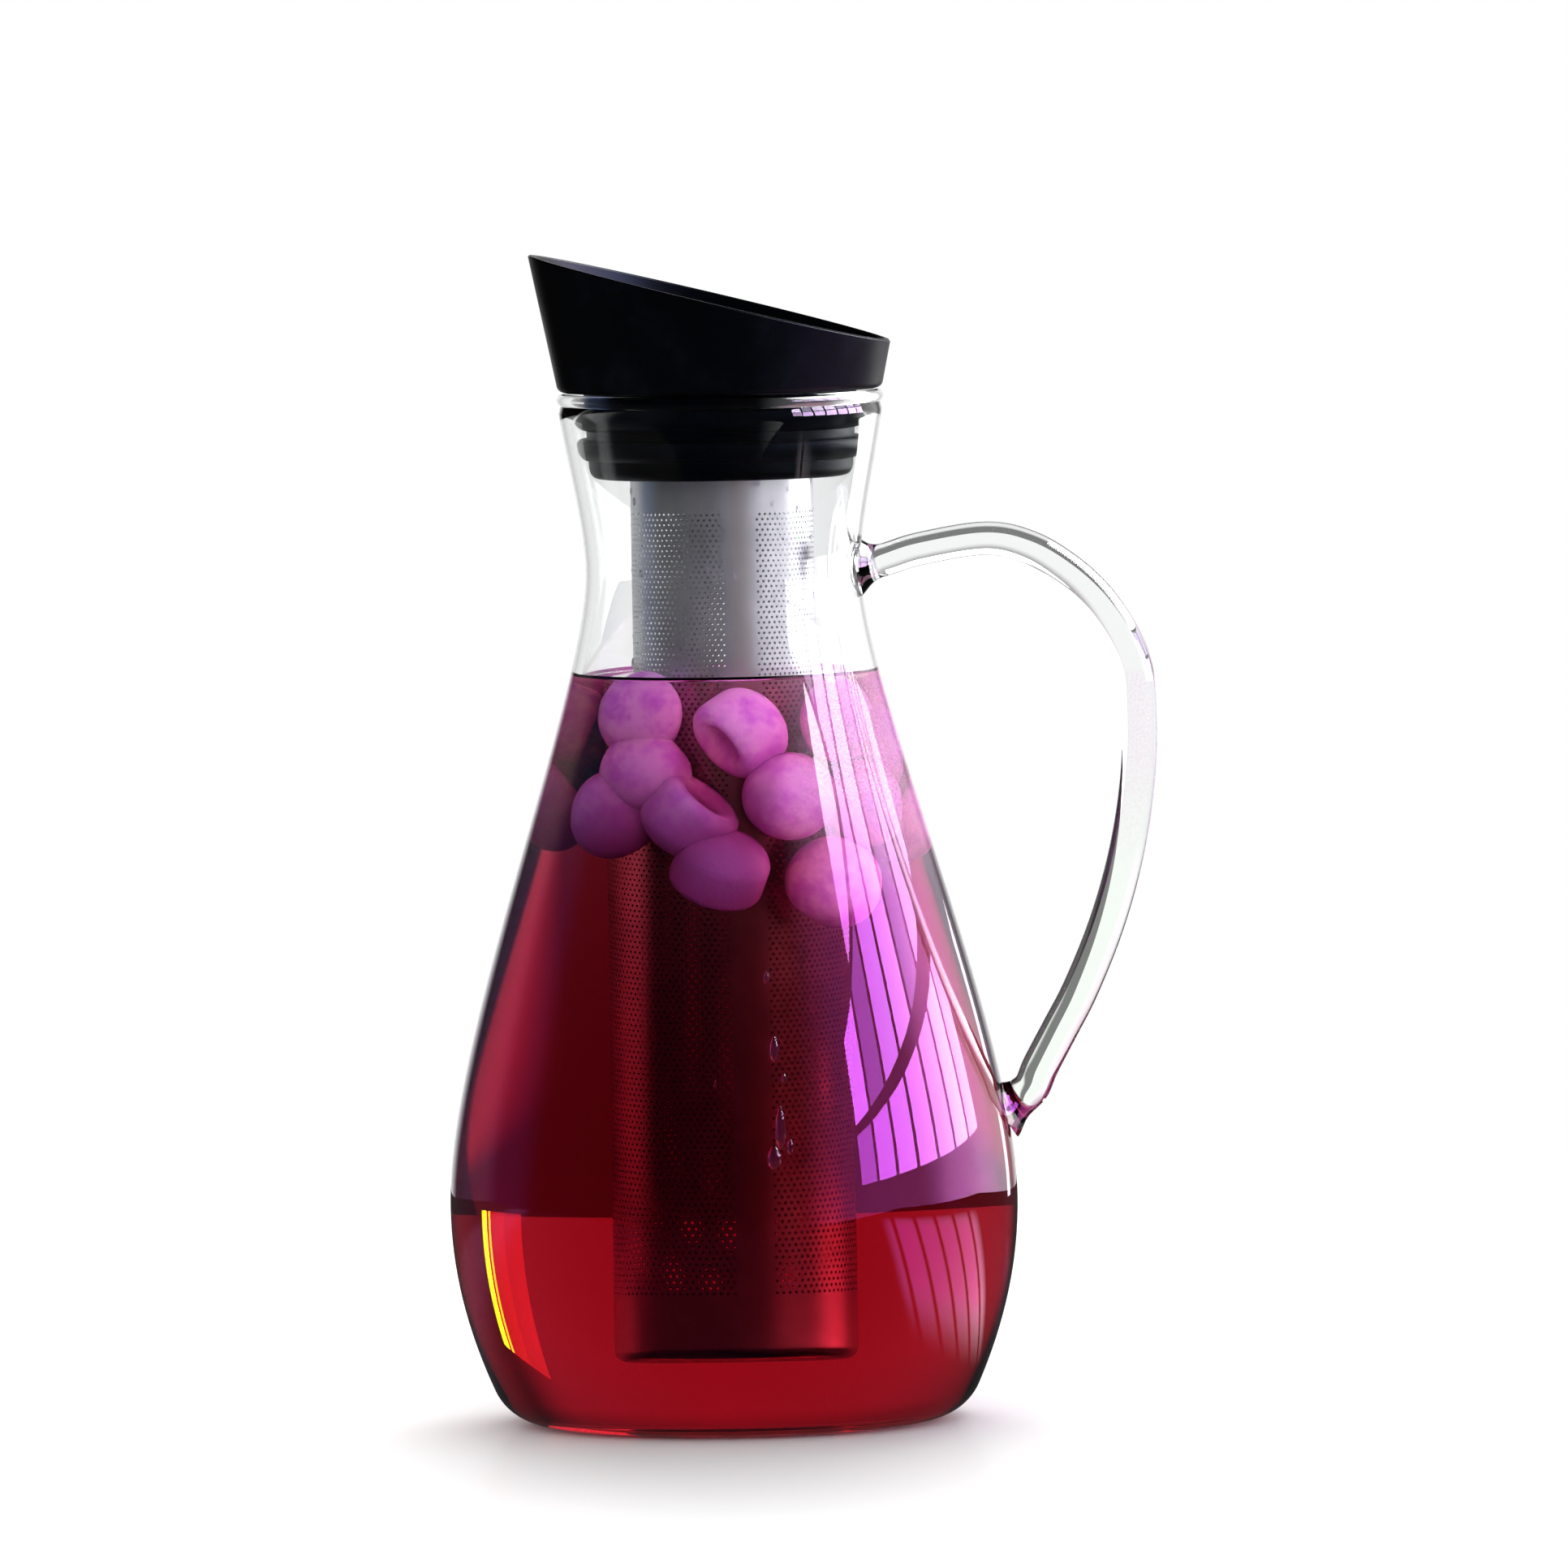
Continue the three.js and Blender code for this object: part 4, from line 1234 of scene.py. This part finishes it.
def sky_light():
    """The plain upper part of the window, which the carafe's shoulder mirrors as one white glow."""
    sill = WINDOW_SILL + len(WINDOW_ROWS) * WINDOW_PANE_HEIGHT
    place = Vector((WINDOW_X, SKY_BACK - SKY_DEPTH / 2, sill + SKY_HEIGHT / 2))
    size = (SKY_DEPTH, SKY_HEIGHT)
    sky = area_light("window_top", place, place + LEFTWARDS, size, SKY_POWER, SKY_COLOUR, diffuse=False)
    sky.visible_transmission = False


# A bright doorway behind to the right: the tea shows it as a yellow streak, the glass mirrors it white
DOOR_DISTANCE = 0.8
DOOR_HEIGHT = 0.19
# Each strip's name, degrees from straight behind, width, radiance and colour
DOOR_STRIPS = [
    ("doorway_shade", 25.5, 0.06, 1.25, (1, 0.6, 0.4)),
    ("doorway_glow", 30.5, 0.08, 1.7, (1, 0.6, 0.3)),
    ("doorway_edge", 34.8, 0.01, 110, (0.03, 1, 0.01)),
    ("doorway_middle", 33.8, 0.016, 230, (0.02, 1, 0.005)),
    ("doorway_blade", 32.2, 0.01, 90, (0.04, 1, 0.01)),
    ("doorway_in_mirrors", 34, 0.06, 4, (1, 0.95, 1)),
]


def only_through_tea(lamp):
    """Shows a lamp only where the path has crossed the glass and the tea, and has met no mirror."""
    nodes = Nodes(lamp)
    path = nodes.outputs("ShaderNodeLightPath")
    deep = path["Transmission Depth"].ramp(*INSIDE_RISE)
    mirrored = path["Glossy Depth"].ramp(0, 1)
    nodes.output(nodes.emission(WHITE, deep * (1 - mirrored)), kind="Light")


def doorway_light():
    for name, turn, width, radiance, colour in DOOR_STRIPS:
        around = math.radians(turn)
        place = Vector((math.sin(around), math.cos(around), 0)) * DOOR_DISTANCE
        place.z = DOOR_HEIGHT / 2
        size = (width, DOOR_HEIGHT)
        power = lamp_power(radiance, size)
        strip = area_light(name, place, (0, 0, place.z), size, power, colour, diffuse=False)
        strip.visible_glossy = name == "doorway_in_mirrors"
        strip.visible_transmission = not strip.visible_glossy
        if strip.visible_transmission:
            only_through_tea(strip.data)


SOFTBOX_PLACE = (0.2, 1.1, 1.35)
SOFTBOX_TARGET = (0, 0, 0.1)
SOFTBOX_SIZE = (1.2, 1.2)
SOFTBOX_POWER = 16


def softbox_light():
    """A soft light high up behind, which no mirror shows."""
    white = WHITE[:3]
    softbox = area_light("top_softbox", SOFTBOX_PLACE, SOFTBOX_TARGET, SOFTBOX_SIZE, SOFTBOX_POWER, white)
    softbox.visible_glossy = False


def camera():
    view = bpy.data.cameras.new("camera")
    view.sensor_width = SENSOR_WIDTH
    made = bpy.data.objects.new("camera", view)
    bpy.context.scene.collection.objects.link(made)
    place = Vector((VIEW_MIDDLE.x, -CAMERA_DISTANCE, CAMERA_HEIGHT))
    made.location = place
    towards = VIEW_MIDDLE - place
    view.lens = SENSOR_WIDTH * towards.length / VIEW_WIDTH
    turn = towards.to_track_quat("-Z", "Y").to_matrix() @ Matrix.Rotation(math.radians(CAMERA_ROLL), 3, "Z")
    made.rotation_euler = turn.to_euler()
    bpy.context.scene.camera = made


bpy.context.scene.view_settings.view_transform = "Standard"
camera()
studio_world()
pale_floor()
window_light()
sky_light()
softbox_light()
doorway_light()

glass = glass_look()
tea = tea_look()
ice = ice_look()
sheet = steel_look("perforated_sheet", seam=True)
steel = steel_look("pressed_steel")
plastic = moulded_look("black_plastic", *PLASTIC)
silicone = moulded_look("black_silicone", *SILICONE)
water = water_look()

carafe = blown_glass(glass)
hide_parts("glass_body", "glass_handle")
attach(carafe, "carafe")

liquid = iced_tea(tea)
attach(liquid, "carafe")

tube_low, tube_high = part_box("infuser_tube")
core_low, core_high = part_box("stopper_core")
cap_low, cap_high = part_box("infuser_base")
infuser_radius = tube_high[0]

for piece in floating_ice(ice, infuser_radius):
    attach(piece, "carafe")

tube = perforated_tube(sheet, infuser_radius, tube_low[2], tube_high[2], core_low[2])
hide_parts("infuser_tube")
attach(tube, "infuser")

cap = rounded_cap(steel, cap_high[0], cap_low[2], cap_high[2], CAP_CORNER, SHEET)
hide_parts("infuser_base")
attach(cap, "infuser")

ring = rolled_ring(steel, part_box("infuser_collar"), tube_high[2])
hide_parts("infuser_collar")
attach(ring, "infuser")

collar = slanted_collar(plastic)
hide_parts("pouring_collar")
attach(collar, "stopper")

seal_spans = []
for node in ("lower_seal_ring", "upper_seal_ring"):
    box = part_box(node)
    seal_spans.append((box[0][2], box[1][2]))
    seal = lip_seal(node.replace("ring", "lip"), silicone, box)
    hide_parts(node)
    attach(seal, "stopper")

for skin in plug_skin(plastic, seal_spans):
    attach(skin, "stopper")

beads = infuser_drops(water, infuser_radius, TEA_HEIGHT, core_low[2])
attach(beads, "infuser")

runs = glass_drops(water)
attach(runs, "carafe")

for node, look in (("stopper_core", plastic), ("flap_pin", steel), ("pour_flap", steel)):
    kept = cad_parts[node]
    for slot in kept.material_slots:
        slot.material = look
